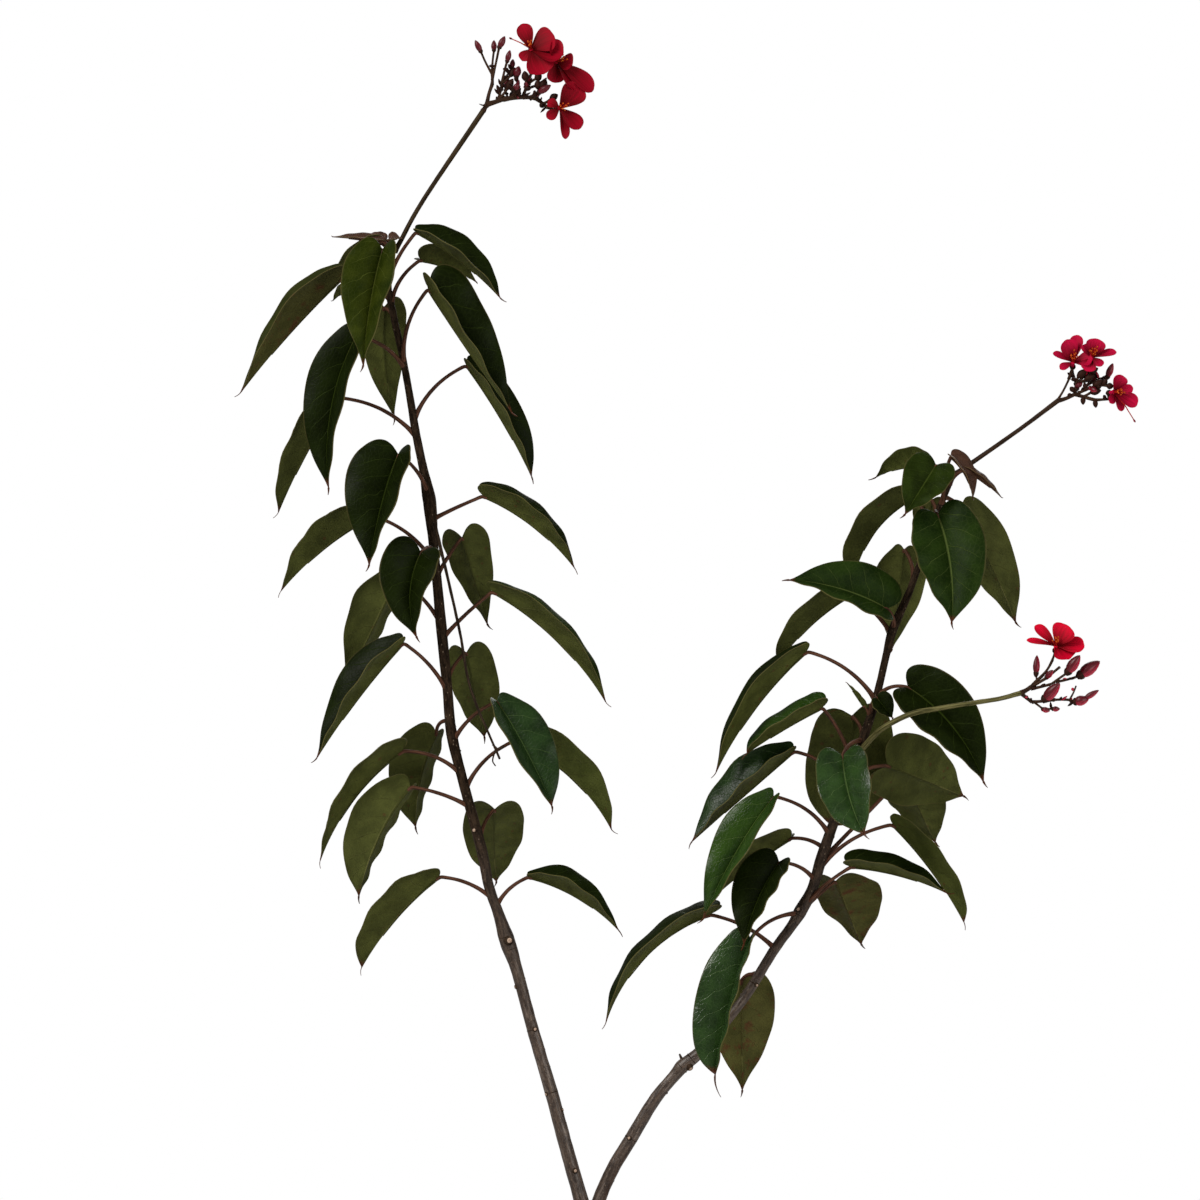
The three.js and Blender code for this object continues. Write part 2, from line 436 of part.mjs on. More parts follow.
/** A thin body behind a grid of points, whose rows run from base to tip. */
function shell(rows, thickness) {
  const columns = rows[0].length;
  const middle = (columns - 1) / 2;
  const faces = [];
  for (let i = 0; i + 1 < rows.length; i += 1) {
    for (let j = 0; j + 1 < columns; j += 1) {
      const a = i * columns + j;
      const [b, c, d] = [a + 1, a + columns + 1, a + columns];
      if (j < middle) faces.push(a, b, d, b, c, d);
      else faces.push(a, b, c, a, c, d);
    }
  }
  const front = new THREE.BufferGeometry();
  const corners = rows.flat().flatMap((point) => point.toArray());
  front.setAttribute('position', new THREE.Float32BufferAttribute(corners, 3));
  front.setIndex(faces);
  front.computeVertexNormals();
  const normals = front.attributes.normal.array;
  const back = corners.map((value, i) => value - normals[i] * thickness);
  const count = rows.length * columns;
  const rim = [];
  for (let j = 0; j < columns; j += 1) rim.push(j);
  for (let i = 1; i < rows.length; i += 1) rim.push(i * columns + columns - 1);
  for (let j = columns - 2; j >= 0; j -= 1) rim.push((rows.length - 1) * columns + j);
  for (let i = rows.length - 2; i >= 1; i -= 1) rim.push(i * columns);
  const index = [...faces];
  for (let i = 0; i < faces.length; i += 3) {
    index.push(faces[i] + count, faces[i + 2] + count, faces[i + 1] + count);
  }
  rim.forEach((a, i) => {
    const b = rim[(i + 1) % rim.length];
    index.push(a, a + count, b + count, a, b + count, b);
  });
  const geometry = new THREE.BufferGeometry();
  geometry.setAttribute('position', new THREE.Float32BufferAttribute([...corners, ...back], 3));
  geometry.setIndex(index);
  return toSolid(geometry);
}

/** The point on a stem's axis at a height, and the stem's radius there. */
function stemAt(stem, up) {
  const { points, lean } = stem;
  const i = Math.max(1, points.findIndex((point) => point[1] >= up));
  const [low, high] = [points[i - 1], points[i]];
  const share = (up - low[1]) / (high[1] - low[1]);
  return {
    point: fromFork(low[0] + (high[0] - low[0]) * share, up, up * lean),
    radius: low[2] + (high[2] - low[2]) * share,
  };
}

/** A stem, made thicker all round by a gap where it serves to cut what stands against it. */
function stemSolid({ points, lean }, grow = 0) {
  const path = points.map(([across, up]) => fromFork(across, up, up * lean));
  return tube(path, points.map((point) => point[2] + grow), STEM_SIDES);
}

/** The midrib of a leaf and the frame that the blade is folded about. */
function midribOf([, stem, rootUp, base, tip, away, , roll, , bow]) {
  const lean = stem.lean * rootUp;
  const start = fromFork(base[0], base[1], lean + away[0]);
  const end = fromFork(tip[0], tip[1], lean + away[1]);
  const chord = end.clone().sub(start);
  const viewer = new THREE.Vector3(0, -1, 0);
  const hand = chord.x <= 0 ? 1 : -1;
  const outward = chord.clone().cross(viewer).multiplyScalar(hand).normalize();
  const bends = MIDRIB_BENDS.map(([share, amount]) => start.clone()
    .addScaledVector(chord, share).addScaledVector(outward, bow * amount));
  const curve = new THREE.CubicBezierCurve3(start, ...bends, end);
  const turn = THREE.MathUtils.degToRad(roll);
  const frameAt = (along) => {
    const tangent = curve.getTangent(THREE.MathUtils.clamp(along, 0, 1));
    const facing = viewer.clone().addScaledVector(tangent, -viewer.dot(tangent)).normalize();
    const outer = tangent.clone().cross(facing).multiplyScalar(hand);
    const normal = facing.clone().multiplyScalar(Math.cos(turn)).addScaledVector(outer, Math.sin(turn));
    const lateral = facing.clone().multiplyScalar(Math.sin(turn)).addScaledVector(outer, -Math.cos(turn));
    return { tangent, normal, lateral };
  };
  const pointAt = (along) => {
    if (along >= 0) return curve.getPoint(Math.min(along, 1));
    return start.clone().addScaledVector(curve.getTangent(0), along * chord.length());
  };
  return { start, pointAt, frameAt, hand };
}

/** Half of a blade's outline. Belly moves its widest part towards the tip; heart deepens the base's lobes. */
function outlineOf(belly, heart) {
  const points = BLADE_OUTLINE.map(([foot, along, across]) => {
    const at = along < 0 ? along * heart : along + belly * along * (1 - along);
    const nearBase = THREE.MathUtils.clamp(1 - at / BASE_REACH, 0, 1) ** 2;
    return new THREE.Vector3(
      foot + belly * foot * (1 - foot),
      at,
      across * (1 - (1 - heart) * nearBase),
    );
  });
  return new THREE.CatmullRomCurve3(points, false, 'catmullrom', OUTLINE_TENSION);
}

/** The blade of a leaf, folded along its midrib. The grid that it is made from is its upper face. */
function blade(leaf, stations) {
  const [width, , fold, , , belly, heart] = leaf.slice(6);
  const { pointAt, frameAt, hand } = midribOf(leaf);
  const tilt = THREE.MathUtils.degToRad(fold);
  const outline = outlineOf(belly, heart);
  const rows = [];
  for (let i = 0; i <= stations; i += 1) {
    const { x: foot, y: along, z: across } = outline.getPoint(i / stations);
    rows.push(BLADE_COLUMNS.map((column) => {
      const share = Math.abs(column);
      const at = foot + (along - foot) * share;
      const out = (width / 2) * across * share;
      const { normal, lateral } = frameAt(at);
      const side = Math.sign(column) * hand;
      return pointAt(at)
        .addScaledVector(lateral, side * out * Math.cos(tilt))
        .addScaledVector(normal, out * Math.sin(tilt));
    }));
  }
  return shell(rows, BLADE_THICKNESS);
}

/** The leaf stalk, from inside the stem to a little way along the midrib, sunk in the blade. */
function petiole(leaf) {
  const [, stem, rootUp] = leaf;
  const lift = leaf[10];
  const { start, pointAt, frameAt } = midribOf(leaf);
  const root = stemAt(stem, rootUp);
  const reach = start.clone().sub(root.point);
  const rise = new THREE.Vector3(-reach.z * Math.sign(reach.x || 1), 0, Math.abs(reach.x)).normalize();
  const middle = root.point.clone().addScaledVector(reach, 0.5)
    .addScaledVector(rise, lift * reach.length());
  const seat = frameAt(MIDRIB_REACH).normal.multiplyScalar(-BLADE_THICKNESS * PETIOLE_SEAT);
  const arc = new THREE.QuadraticBezierCurve3(root.point, middle, pointAt(MIDRIB_REACH).add(seat));
  const points = arc.getPoints(PETIOLE_STEPS);
  const radii = points.map((_, i) => {
    const share = i / (points.length - 1);
    return PETIOLE_ROOT_RADIUS + (PETIOLE_END_RADIUS - PETIOLE_ROOT_RADIUS) * share;
  });
  return tube(points, radii, STALK_SIDES);
}

/** A whole leaf: its blade and its stalk in one. */
function leafSolid(leaf, stations = BLADE_STATIONS) {
  return blade(leaf, stations).add(petiole(leaf));
}

/** Places a bloom's points, which are measured from the stem's own depth where the bloom leaves it. */
function placeOf({ stem, peduncle }) {
  const depth = stem.lean * peduncle.points[0][1];
  return ([across, up, away]) => fromFork(across, up, away + depth);
}

/** One flower bud, spindle-shaped, from its base to its tip. */
function bud(place, [base, tip, radius]) {
  const [start, end] = [place(base), place(tip)];
  const at = (share) => start.clone().lerp(end, share);
  return tube(BUD_SHAPE.map(([share]) => at(share)), BUD_SHAPE.map(([, wide]) => radius * wide), BUD_SIDES);
}

/** Where a flower stands and the axis that it faces along. */
function flowerFrame(place, [centre, facing]) {
  return { centre: place(centre), axis: new THREE.Vector3(...facing).normalize() };
}

/** The calyx cup behind a flower. */
function calyx(place, flower) {
  const { centre, axis } = flowerFrame(place, flower);
  const back = (length) => centre.clone().addScaledVector(axis, -length);
  const reach = FLOWER_TUBE_LENGTH + CLEARANCE;
  const points = [back(reach + CALYX_LENGTH), back(reach + CALYX_LENGTH / 2), back(reach)];
  return tube(points, [FLOWER_NECK_RADIUS, CALYX_RADIUS * CALYX_BELLY, CALYX_RADIUS], BUD_SIDES);
}

/** One petal, from near the flower's centre to its tip. */
function petal({ centre, axis }, [right, up, away, width]) {
  const reach = new THREE.Vector3(right, away, up);
  const length = reach.length();
  const radial = reach.clone().normalize();
  const sideways = axis.clone().cross(radial).normalize();
  const face = radial.clone().cross(sideways);
  const rows = PETAL_OUTLINE.map((wide, i) => {
    const share = i / (PETAL_OUTLINE.length - 1);
    const out = PETAL_ROOT + (length - PETAL_ROOT) * share;
    const rise = length * PETAL_BOW * share * (1 - share);
    const half = (wide * width) / 2;
    return [-1, 0, 1].map((column) => centre.clone()
      .addScaledVector(radial, out)
      .addScaledVector(sideways, -column * half)
      .addScaledVector(face, rise + PETAL_CROWN * half * Math.abs(column)));
  });
  return shell(rows, PETAL_THICKNESS);
}

/** The red part of a flower: tube, five spread petals and the bundle of stamens. */
function corolla(place, flower) {
  const frame = flowerFrame(place, flower);
  const { centre, axis } = frame;
  const [, , petals] = flower;
  const along = (length) => centre.clone().addScaledVector(axis, length);
  const throat = tube(
    [along(-FLOWER_TUBE_LENGTH), along(THROAT_RISE)],
    [FLOWER_TUBE_RADIUS, FLOWER_TUBE_RADIUS * THROAT_FLARE],
    FLOWER_TUBE_SIDES,
  );
  const stamens = tube(
    [along(-THROAT_RISE), along(STAMEN_LENGTH)],
    [STAMEN_RADIUS * STAMEN_FOOT, STAMEN_RADIUS],
    BUD_SIDES,
  );
  return join([throat, stamens, ...petals.map((spec) => petal(frame, spec))]);
}

/** The flower stalk of a bloom with its branches, buds and calyx cups. */
function cyme(bloom) {
  const { stem, peduncle, stalks, buds } = bloom;
  const flowers = bloom.flowers.flat();
  const place = placeOf(bloom);
  const main = tube(peduncle.points.map(place), peduncle.radii, STALK_SIDES);
  const branches = stalks.map(([start, end, radius]) => tube(
    [place(start), place(end)], [radius, radius * STALK_TAPER], STALK_SIDES,
  ));
  const necks = flowers.map((flower) => {
    const { centre, axis } = flowerFrame(place, flower);
    const back = FLOWER_TUBE_LENGTH + CLEARANCE + CALYX_LENGTH * CALYX_SEAT;
    const foot = centre.clone().addScaledVector(axis, -back);
    const ends = stalks.map(([, end]) => place(end));
    const nearest = ends.reduce((a, b) => (a.distanceTo(foot) < b.distanceTo(foot) ? a : b));
    return tube([nearest, foot], [FLOWER_NECK_RADIUS, FLOWER_NECK_RADIUS], STALK_SIDES);
  });
  const heads = [...buds.map((spec) => bud(place, spec)), ...flowers.map((flower) => calyx(place, flower))];
  return largestBody(join([main, ...branches, ...necks, ...heads]).subtract(stemSolid(stem, CLEARANCE)));
}

/** The flowers of each group in a bloom, whose petals touch. */
function corollas(bloom) {
  const place = placeOf(bloom);
  return bloom.flowers.map((group) => join(group.map((flower) => corolla(place, flower))));
}

/** A body turned about the pot's axis from a closed outline of [radius, height] points. */
function turned(outline) {
  const points = outline.map(([radius, height]) => new THREE.Vector2(radius, height));
  const lathe = new THREE.LatheGeometry(points, POT_SIDES);
  lathe.rotateX(Math.PI / 2);
  return toSolid(lathe);
}

/** The pot's outer radius at a height, below the rim band. */
function potRadiusAt(height) {
  return POT_BASE_RADIUS + (POT_RIM_RADIUS - RIM_BAND_OUT - POT_BASE_RADIUS) * (height / POT_HEIGHT);
}

/** The pot: a tapered wall with a rim band, a flat floor and drain holes. */
function pot() {
  const bandFoot = POT_HEIGHT - RIM_BAND_HEIGHT;
  let body = turned([
    [0, 0],
    [POT_BASE_RADIUS - EDGE_ROUND, 0],
    [POT_BASE_RADIUS, EDGE_ROUND],
    [potRadiusAt(bandFoot), bandFoot],
    [POT_RIM_RADIUS - EDGE_ROUND, bandFoot + EDGE_ROUND / 2],
    [POT_RIM_RADIUS, bandFoot + 2 * EDGE_ROUND],
    [POT_RIM_RADIUS, POT_HEIGHT - EDGE_ROUND],
    [POT_RIM_RADIUS - EDGE_ROUND, POT_HEIGHT],
    [potRadiusAt(POT_HEIGHT) - POT_WALL + EDGE_ROUND, POT_HEIGHT],
    [potRadiusAt(POT_HEIGHT) - POT_WALL, POT_HEIGHT - EDGE_ROUND],
    [potRadiusAt(POT_FLOOR) - POT_WALL, POT_FLOOR],
    [0, POT_FLOOR],
  ]);
  for (let k = 0; k < DRAIN_HOLES; k += 1) {
    const angle = (2 * Math.PI * k) / DRAIN_HOLES;
    const foot = new THREE.Vector3(Math.cos(angle), Math.sin(angle), 0).multiplyScalar(DRAIN_RING_RADIUS);
    const ends = [-POT_FLOOR, 2 * POT_FLOOR].map((height) => foot.clone().setZ(height));
    body = body.subtract(tube(ends, [DRAIN_RADIUS, DRAIN_RADIUS], STEM_SIDES));
  }
  return body;
}

/** The soil, which fills the pot to a little under the rim, with a plain hole for the trunk. */
function soil(trunk) {
  const top = POT_HEIGHT - SOIL_DROP;
  const inside = (height) => potRadiusAt(height) - POT_WALL - CLEARANCE;
  const fill = turned([
    [0, POT_FLOOR + CLEARANCE],
    [inside(POT_FLOOR) - CLEARANCE, POT_FLOOR + CLEARANCE],
    [inside(top), top],
    [inside(top) * SOIL_SHOULDER, top + SOIL_MOUND],
    [0, top + SOIL_MOUND],
  ]);
  return fill.subtract(trunk);
}

/** The trunk, grown by a gap, from its foot in the soil to the fork. */
function trunkSolid(grow = 0) {
  const path = TRUNK.points.map(([across, up]) => fromFork(across, up));
  const foot = path[0].clone().setZ(path[0].z - grow);
  return tube([foot, ...path.slice(1)], TRUNK.points.map((point) => point[2] + grow), STEM_SIDES);
}

/** Trunk, both stems, the dry old stalk and the young leaves, which all grew as one piece. */
function shoots() {
  const old = tube(OLD_STALK.points.map((point) => fromFork(...point)), OLD_STALK.radii, STALK_SIDES);
  const young = YOUNG_LEAVES.map((leaf) => leafSolid(leaf, YOUNG_STATIONS));
  const solids = [trunkSolid(), stemSolid(LEFT_STEM), stemSolid(RIGHT_STEM), old, ...young];
  return largestBody(join(solids));
}

/** A named mesh in one of the plant's materials. */
function piece(name, solid, material) {
  const mesh = new THREE.Mesh(toGeometry(solid), new THREE.MeshStandardMaterial(MATERIALS[material]));
  mesh.name = name;
  return mesh;
}

const plant = new THREE.Group();
plant.add(piece('pot', pot(), 'pot'));
plant.add(piece('soil', soil(trunkSolid(CLEARANCE)), 'soil'));
plant.add(piece('stems', shoots(), 'wood'));
for (const leaf of LEAVES) {
  const [name, stem] = leaf;
  plant.add(piece(name, largestBody(leafSolid(leaf).subtract(stemSolid(stem, CLEARANCE))), 'leaf'));
}
for (const [name, bloom] of Object.entries(BLOOMS)) {
  plant.add(piece(`${name}_stalks`, cyme(bloom), 'cyme'));
  corollas(bloom).forEach((flowers, i) => plant.add(piece(`${name}_petals_${i + 1}`, flowers, 'petal')));
}

export default plant;
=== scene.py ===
"""A potted peregrina at life size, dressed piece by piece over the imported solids.

Two woody stems fork just above the rim of a clay pot. They carry long-stalked, heart-shaped leaves that are
folded along the midrib and hang by it, and slender flower stalks that end in buds and red flowers.
Shapes are worked out in millimetres and turned to metres as each piece is built. The plant is seen from the
front by looking along +Y, and heights in the tables are measured up from the fork.
"""

from __future__ import annotations

import logging
import math
import random
from dataclasses import dataclass, field
from enum import Enum
from typing import Any, Sequence

import bpy
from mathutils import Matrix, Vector, noise


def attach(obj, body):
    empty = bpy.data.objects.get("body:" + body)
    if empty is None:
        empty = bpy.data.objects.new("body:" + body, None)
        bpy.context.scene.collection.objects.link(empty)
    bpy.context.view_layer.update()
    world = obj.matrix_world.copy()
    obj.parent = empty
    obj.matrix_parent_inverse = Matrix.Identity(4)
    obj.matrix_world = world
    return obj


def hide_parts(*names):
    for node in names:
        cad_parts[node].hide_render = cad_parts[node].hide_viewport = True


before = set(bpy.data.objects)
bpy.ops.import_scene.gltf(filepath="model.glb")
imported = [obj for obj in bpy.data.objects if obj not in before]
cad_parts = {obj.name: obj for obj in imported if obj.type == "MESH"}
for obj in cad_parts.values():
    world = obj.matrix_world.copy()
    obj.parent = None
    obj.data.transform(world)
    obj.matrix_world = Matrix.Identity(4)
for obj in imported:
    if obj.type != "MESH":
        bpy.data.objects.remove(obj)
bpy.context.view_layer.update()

LOG = logging.getLogger("peregrina")

MM = 0.001
BODY = "root"
FORK_HEIGHT = 250.0
VIEWER = Vector((0.0, -1.0, 0.0))
UP = Vector((0.0, 0.0, 1.0))
TURN = 2 * math.pi

Colour = tuple[float, float, float]
Place = tuple[float, float, float]
Knot = tuple[float, float, float, float]  # a place, and the radius or width there
Limb = tuple[Place, Place, float]  # a start, an end and a radius
Pair = tuple[Vector, Vector, Place]  # a point of a thin body's upper face, the one under it, and their place


def srgb(red: int, green: int, blue: int) -> Colour:
    """A colour given as it looks on a screen, turned to the linear values that shaders use.

    Args:
        red: Red, 0 to 255.
        green: Green, 0 to 255.
        blue: Blue, 0 to 255.

    Returns:
        The linear red, green and blue, 0 to 1.
    """
    def linear(level: int) -> float:
        """One channel's linear value."""
        share = level / 255.0
        return share / 12.92 if share <= 0.04045 else ((share + 0.055) / 1.055) ** 2.4

    return linear(red), linear(green), linear(blue)


def from_fork(across: float, up: float, away: float = 0.0) -> Vector:
    """The point so far to the right of the fork, above it and behind it, in millimetres."""
    return Vector((across, away, FORK_HEIGHT + up))


def smooth_step(low: float, high: float, value: float) -> float:
    """A soft step from 0 at low to 1 at high."""
    share = min(max((value - low) / (high - low), 0.0), 1.0)
    return share * share * (3.0 - 2.0 * share)


def clear_of(direction: Vector) -> Vector:
    """The way towards the viewer, or up where the direction itself runs that way."""
    return VIEWER if abs(direction.y) < 0.9 else UP


def spokes(first: Vector, second: Vector, sides: int) -> list[tuple[float, float, Vector]]:
    """Directions all round from the first through the second, each with its cosine and sine."""
    turns = [(math.cos(TURN * k / sides), math.sin(TURN * k / sides)) for k in range(sides)]
    return [(cosine, sine, first * cosine + second * sine) for cosine, sine in turns]


def circle(radius: float, height: float, sides: int) -> list[Vector]:
    """Points round a level circle about the pot's axis."""
    angles = [TURN * k / sides for k in range(sides)]
    return [Vector((math.cos(angle) * radius, math.sin(angle) * radius, height)) for angle in angles]


def spline_point(points: Sequence[Vector], share: float, tension: float = 0.5) -> Vector:
    """A point on the smooth curve through the points.

    Args:
        points: The points that the curve goes through.
        share: How far along the list, 0 to 1.
        tension: How strongly the neighbours bend the curve.

    Returns:
        The point there.
    """
    place = share * (len(points) - 1)
    i = min(int(place), len(points) - 2)
    t = place - i
    before = points[i - 1] if i > 0 else points[0] * 2 - points[1]
    after = points[i + 2] if i + 2 < len(points) else points[-1] * 2 - points[-2]
    start, end = points[i], points[i + 1]
    lead, trail = (end - before) * tension, (after - start) * tension
    return (start * (2 * t**3 - 3 * t**2 + 1) + lead * (t**3 - 2 * t**2 + t)
            + end * (3 * t**2 - 2 * t**3) + trail * (t**3 - t**2))


# Surfaces

@dataclass
class Surface:
    """One piece's points and faces in millimetres, gathered patch by patch.

    Every point has a place: numbers that its finish reads, such as how far along a leaf it lies.
    """

    points: list[Vector] = field(default_factory=list)
    places: list[Place] = field(default_factory=list)
    faces: list[tuple[int, ...]] = field(default_factory=list)
    slots: list[int] = field(default_factory=list)

    # How far a tube's ends bulge, as a share of its radius
    DOME = 0.35
    # How fast a tube's unevenness changes round it and along it
    ROUND_RATE, LENGTH_RATE, RATE = 0.6, 0.11, 1.6

    def add_point(self, point: Vector, place: Place = (0.0, 0.0, 0.0)) -> int:
        """Adds a point and returns its number."""
        self.points.append(point)
        self.places.append(place)
        return len(self.points) - 1

    def add_face(self, corners: tuple[int, ...], slot: int = 0) -> None:
        """Adds a face with the finish in that slot."""
        self.faces.append(corners)
        self.slots.append(slot)

    def add_rows(self, rows: list[list[int]], slot: int, closed: bool = False, flip: bool = False) -> None:
        """Joins rows of points by faces.

        Args:
            rows: The point numbers, row by row.
            slot: The finish of the faces.
            closed: Whether each row runs round to its start.
            flip: Whether the faces look the other way.
        """
        for low, high in zip(rows, rows[1:]):
            count = len(low)
            for k in range(count if closed else count - 1):
                n = (k + 1) % count
                corners = (low[k], low[n], high[n], high[k])
                self.add_face(corners[::-1] if flip else corners, slot)

    def add_sheet(self, rows: list[list[Pair]], top_slot: int, under_slot: int) -> None:
        """Adds a thin body from a grid of pairs of points, and closes it all round.

        Args:
            rows: The pairs, row by row.
            top_slot: The upper face's finish.
            under_slot: The lower face's and the margin's finish.
        """
        tops, unders = [], []
        for row in rows:
            numbers = [(self.add_point(top, place), self.add_point(under, place))
                       for top, under, place in row]
            tops.append([top for top, _ in numbers])
            unders.append([under for _, under in numbers])
        self.add_rows(tops, top_slot, flip=True)
        self.add_rows(unders, under_slot)
        loops = []
        for grid in (tops, unders):
            right = [row[-1] for row in grid[1:]]
            left = [row[0] for row in grid[-2:0:-1]]
            loops.append(grid[0] + right + grid[-1][-2::-1] + left)
        self.add_rows(loops, under_slot, closed=True)

    def add_body(self, rows: list[list[int]], ends: Sequence[int], slot: int) -> None:
        """Joins rings of points into a closed body that comes to a point at either end."""
        self.add_rows(rows, slot, closed=True)
        count = len(rows[0])
        for k in range(count):
            n = (k + 1) % count
            self.add_face((ends[0], rows[0][n], rows[0][k]), slot)
            self.add_face((ends[1], rows[-1][k], rows[-1][n]), slot)

    def add_tube(self, path: Sequence[Vector], radii: Sequence[float], sides: int, slot: int = 0,
                 rough: float = 0.0, seed: float = 0.0) -> None:
        """Adds a closed round tube with softly domed ends.

        Args:
            path: Its centre line.
            radii: Its radius at each point of the path.
            sides: How many sides it has.
            slot: Its finish.
            rough: How far its skin is uneven, as a share of the radius.
            seed: Where in the noise the unevenness is read.
        """
        rows = []
        length = 0.0
        side = None
        for i, point in enumerate(path):
            tangent = (path[min(i + 1, len(path) - 1)] - path[max(i - 1, 0)]).normalized()
            if side is None:
                side = clear_of(tangent).cross(tangent)
            side = (side - tangent * side.dot(tangent)).normalized()
            over = tangent.cross(side)
            if i:
                length += (point - path[i - 1]).length
            row = []
            for cosine, sine, spoke in spokes(side, over, sides):
                radius = radii[i]
                if rough:
                    probe = spoke * self.ROUND_RATE + Vector((seed, 0.0, length * self.LENGTH_RATE))
                    radius *= 1.0 + rough * noise.noise(probe * self.RATE)
                place = (cosine * radii[i], sine * radii[i], length)
                row.append(self.add_point(point + spoke * radius, place))
            rows.append(row)
        ends = ((path[0], path[1], radii[0], 0.0), (path[-1], path[-2], radii[-1], length))
        tips = [self.add_point(end + (end - inner).normalized() * radius * self.DOME, (0.0, 0.0, at))
                for end, inner, radius, at in ends]
        self.add_body(rows, tips, slot)

    def add_taper(self, knots: Sequence[Vector], sizes: Sequence[float], count: int, sides: int,
                  slot: int = 0, rough: float = 0.0, seed: float = 0.0) -> None:
        """Adds a tube along the smooth curve through some knots.

        Args:
            knots: The points that it runs through.
            sizes: Its radius at each of them.
            count: How many pieces it is divided into.
            sides: How many sides it has.
            slot: Its finish.
            rough: How far its skin is uneven.
            seed: Where in the noise the unevenness is read.
        """
        widths = [Vector((size, 0, 0)) for size in sizes]
        shares = [i / count for i in range(count + 1)]
        path = [spline_point(knots, share) for share in shares]
        radii = [spline_point(widths, share).x for share in shares]
        self.add_tube(path, radii, sides, slot, rough, seed)

    def add_lobe(self, base: Vector, tip: Vector, profile: Sequence[tuple[float, float]], radius: float,
                 sides: int, slot: int = 0, squash: float = 1.0, facing: Vector | None = None) -> None:
        """Adds a closed body turned about its own axis, such as a bud, an anther or a scar.

        Args:
            base: Where its axis starts.
            tip: Where its axis ends.
            profile: Pairs of share of length and share of radius.
            radius: Its greatest radius.
            sides: How many sides it has.
            slot: Its finish.
            squash: Its thickness across the facing direction, as a share of its width.
            facing: The direction in which it is squashed.
        """
        axis = (tip - base).normalized()
        rough_side = clear_of(axis) if facing is None else facing
        flat = (rough_side - axis * rough_side.dot(axis)).normalized()
        wide = axis.cross(flat)
        rows = []
        for along, share in profile:
            centre = base.lerp(tip, along)
            row = [self.add_point(centre + spoke * radius * share, (cosine, sine, along))
                   for cosine, sine, spoke in spokes(flat * squash, wide, sides)]
            rows.append(row)
        ends = [self.add_point(base.copy(), (0.0, 0.0, 0.0)), self.add_point(tip.copy(), (0.0, 0.0, 1.0))]
        self.add_body(rows, ends, slot)

    def build(self, name: str, finishes: Sequence[bpy.types.Material],
              sharp: float = 60.0) -> bpy.types.Object:
        """Makes the piece's mesh object.

        Args:
            name: The object's name.
            finishes: One material for each slot.
            sharp: The angle between faces, in degrees, above which an edge stays sharp.

        Returns:
            The object, at the origin, with its place in its mesh.
        """
        mesh = bpy.data.meshes.new(name)
        mesh.from_pydata([point * MM for point in self.points], [], self.faces)
        mesh.polygons.foreach_set("material_index", self.slots)
        mesh.polygons.foreach_set("use_smooth", [True] * len(self.faces))
        places = mesh.attributes.new("place", "FLOAT_VECTOR", "POINT")
        places.data.foreach_set("vector", [value for place in self.places for value in place])
        for finish in finishes:
            mesh.materials.append(finish)
        mesh.set_sharp_from_angle(angle=math.radians(sharp))
        mesh.update()
        piece = bpy.data.objects.new(name, mesh)
        bpy.context.scene.collection.objects.link(piece)
        return piece


# Finishes

class Wire:
    """What one node hands to others. Arithmetic on wires adds the nodes that work it out."""

    def __init__(self, sheet: Sheet, socket: bpy.types.NodeSocket) -> None:
        """Takes hold of a node's output."""
        self.sheet = sheet
        self.socket = socket

    def __add__(self, other: Wire | float) -> Wire:
        """The sum."""
        return self.sheet.work("ADD", self, other)

    def __sub__(self, other: Wire | float) -> Wire:
        """The difference."""
        return self.sheet.work("SUBTRACT", self, other)

    def __rsub__(self, other: float) -> Wire:
        """The difference from a plain number."""
        return self.sheet.work("SUBTRACT", other, self)

    def __mul__(self, other: Wire | float) -> Wire:
        """The product."""
        return self.sheet.work("MULTIPLY", self, other)


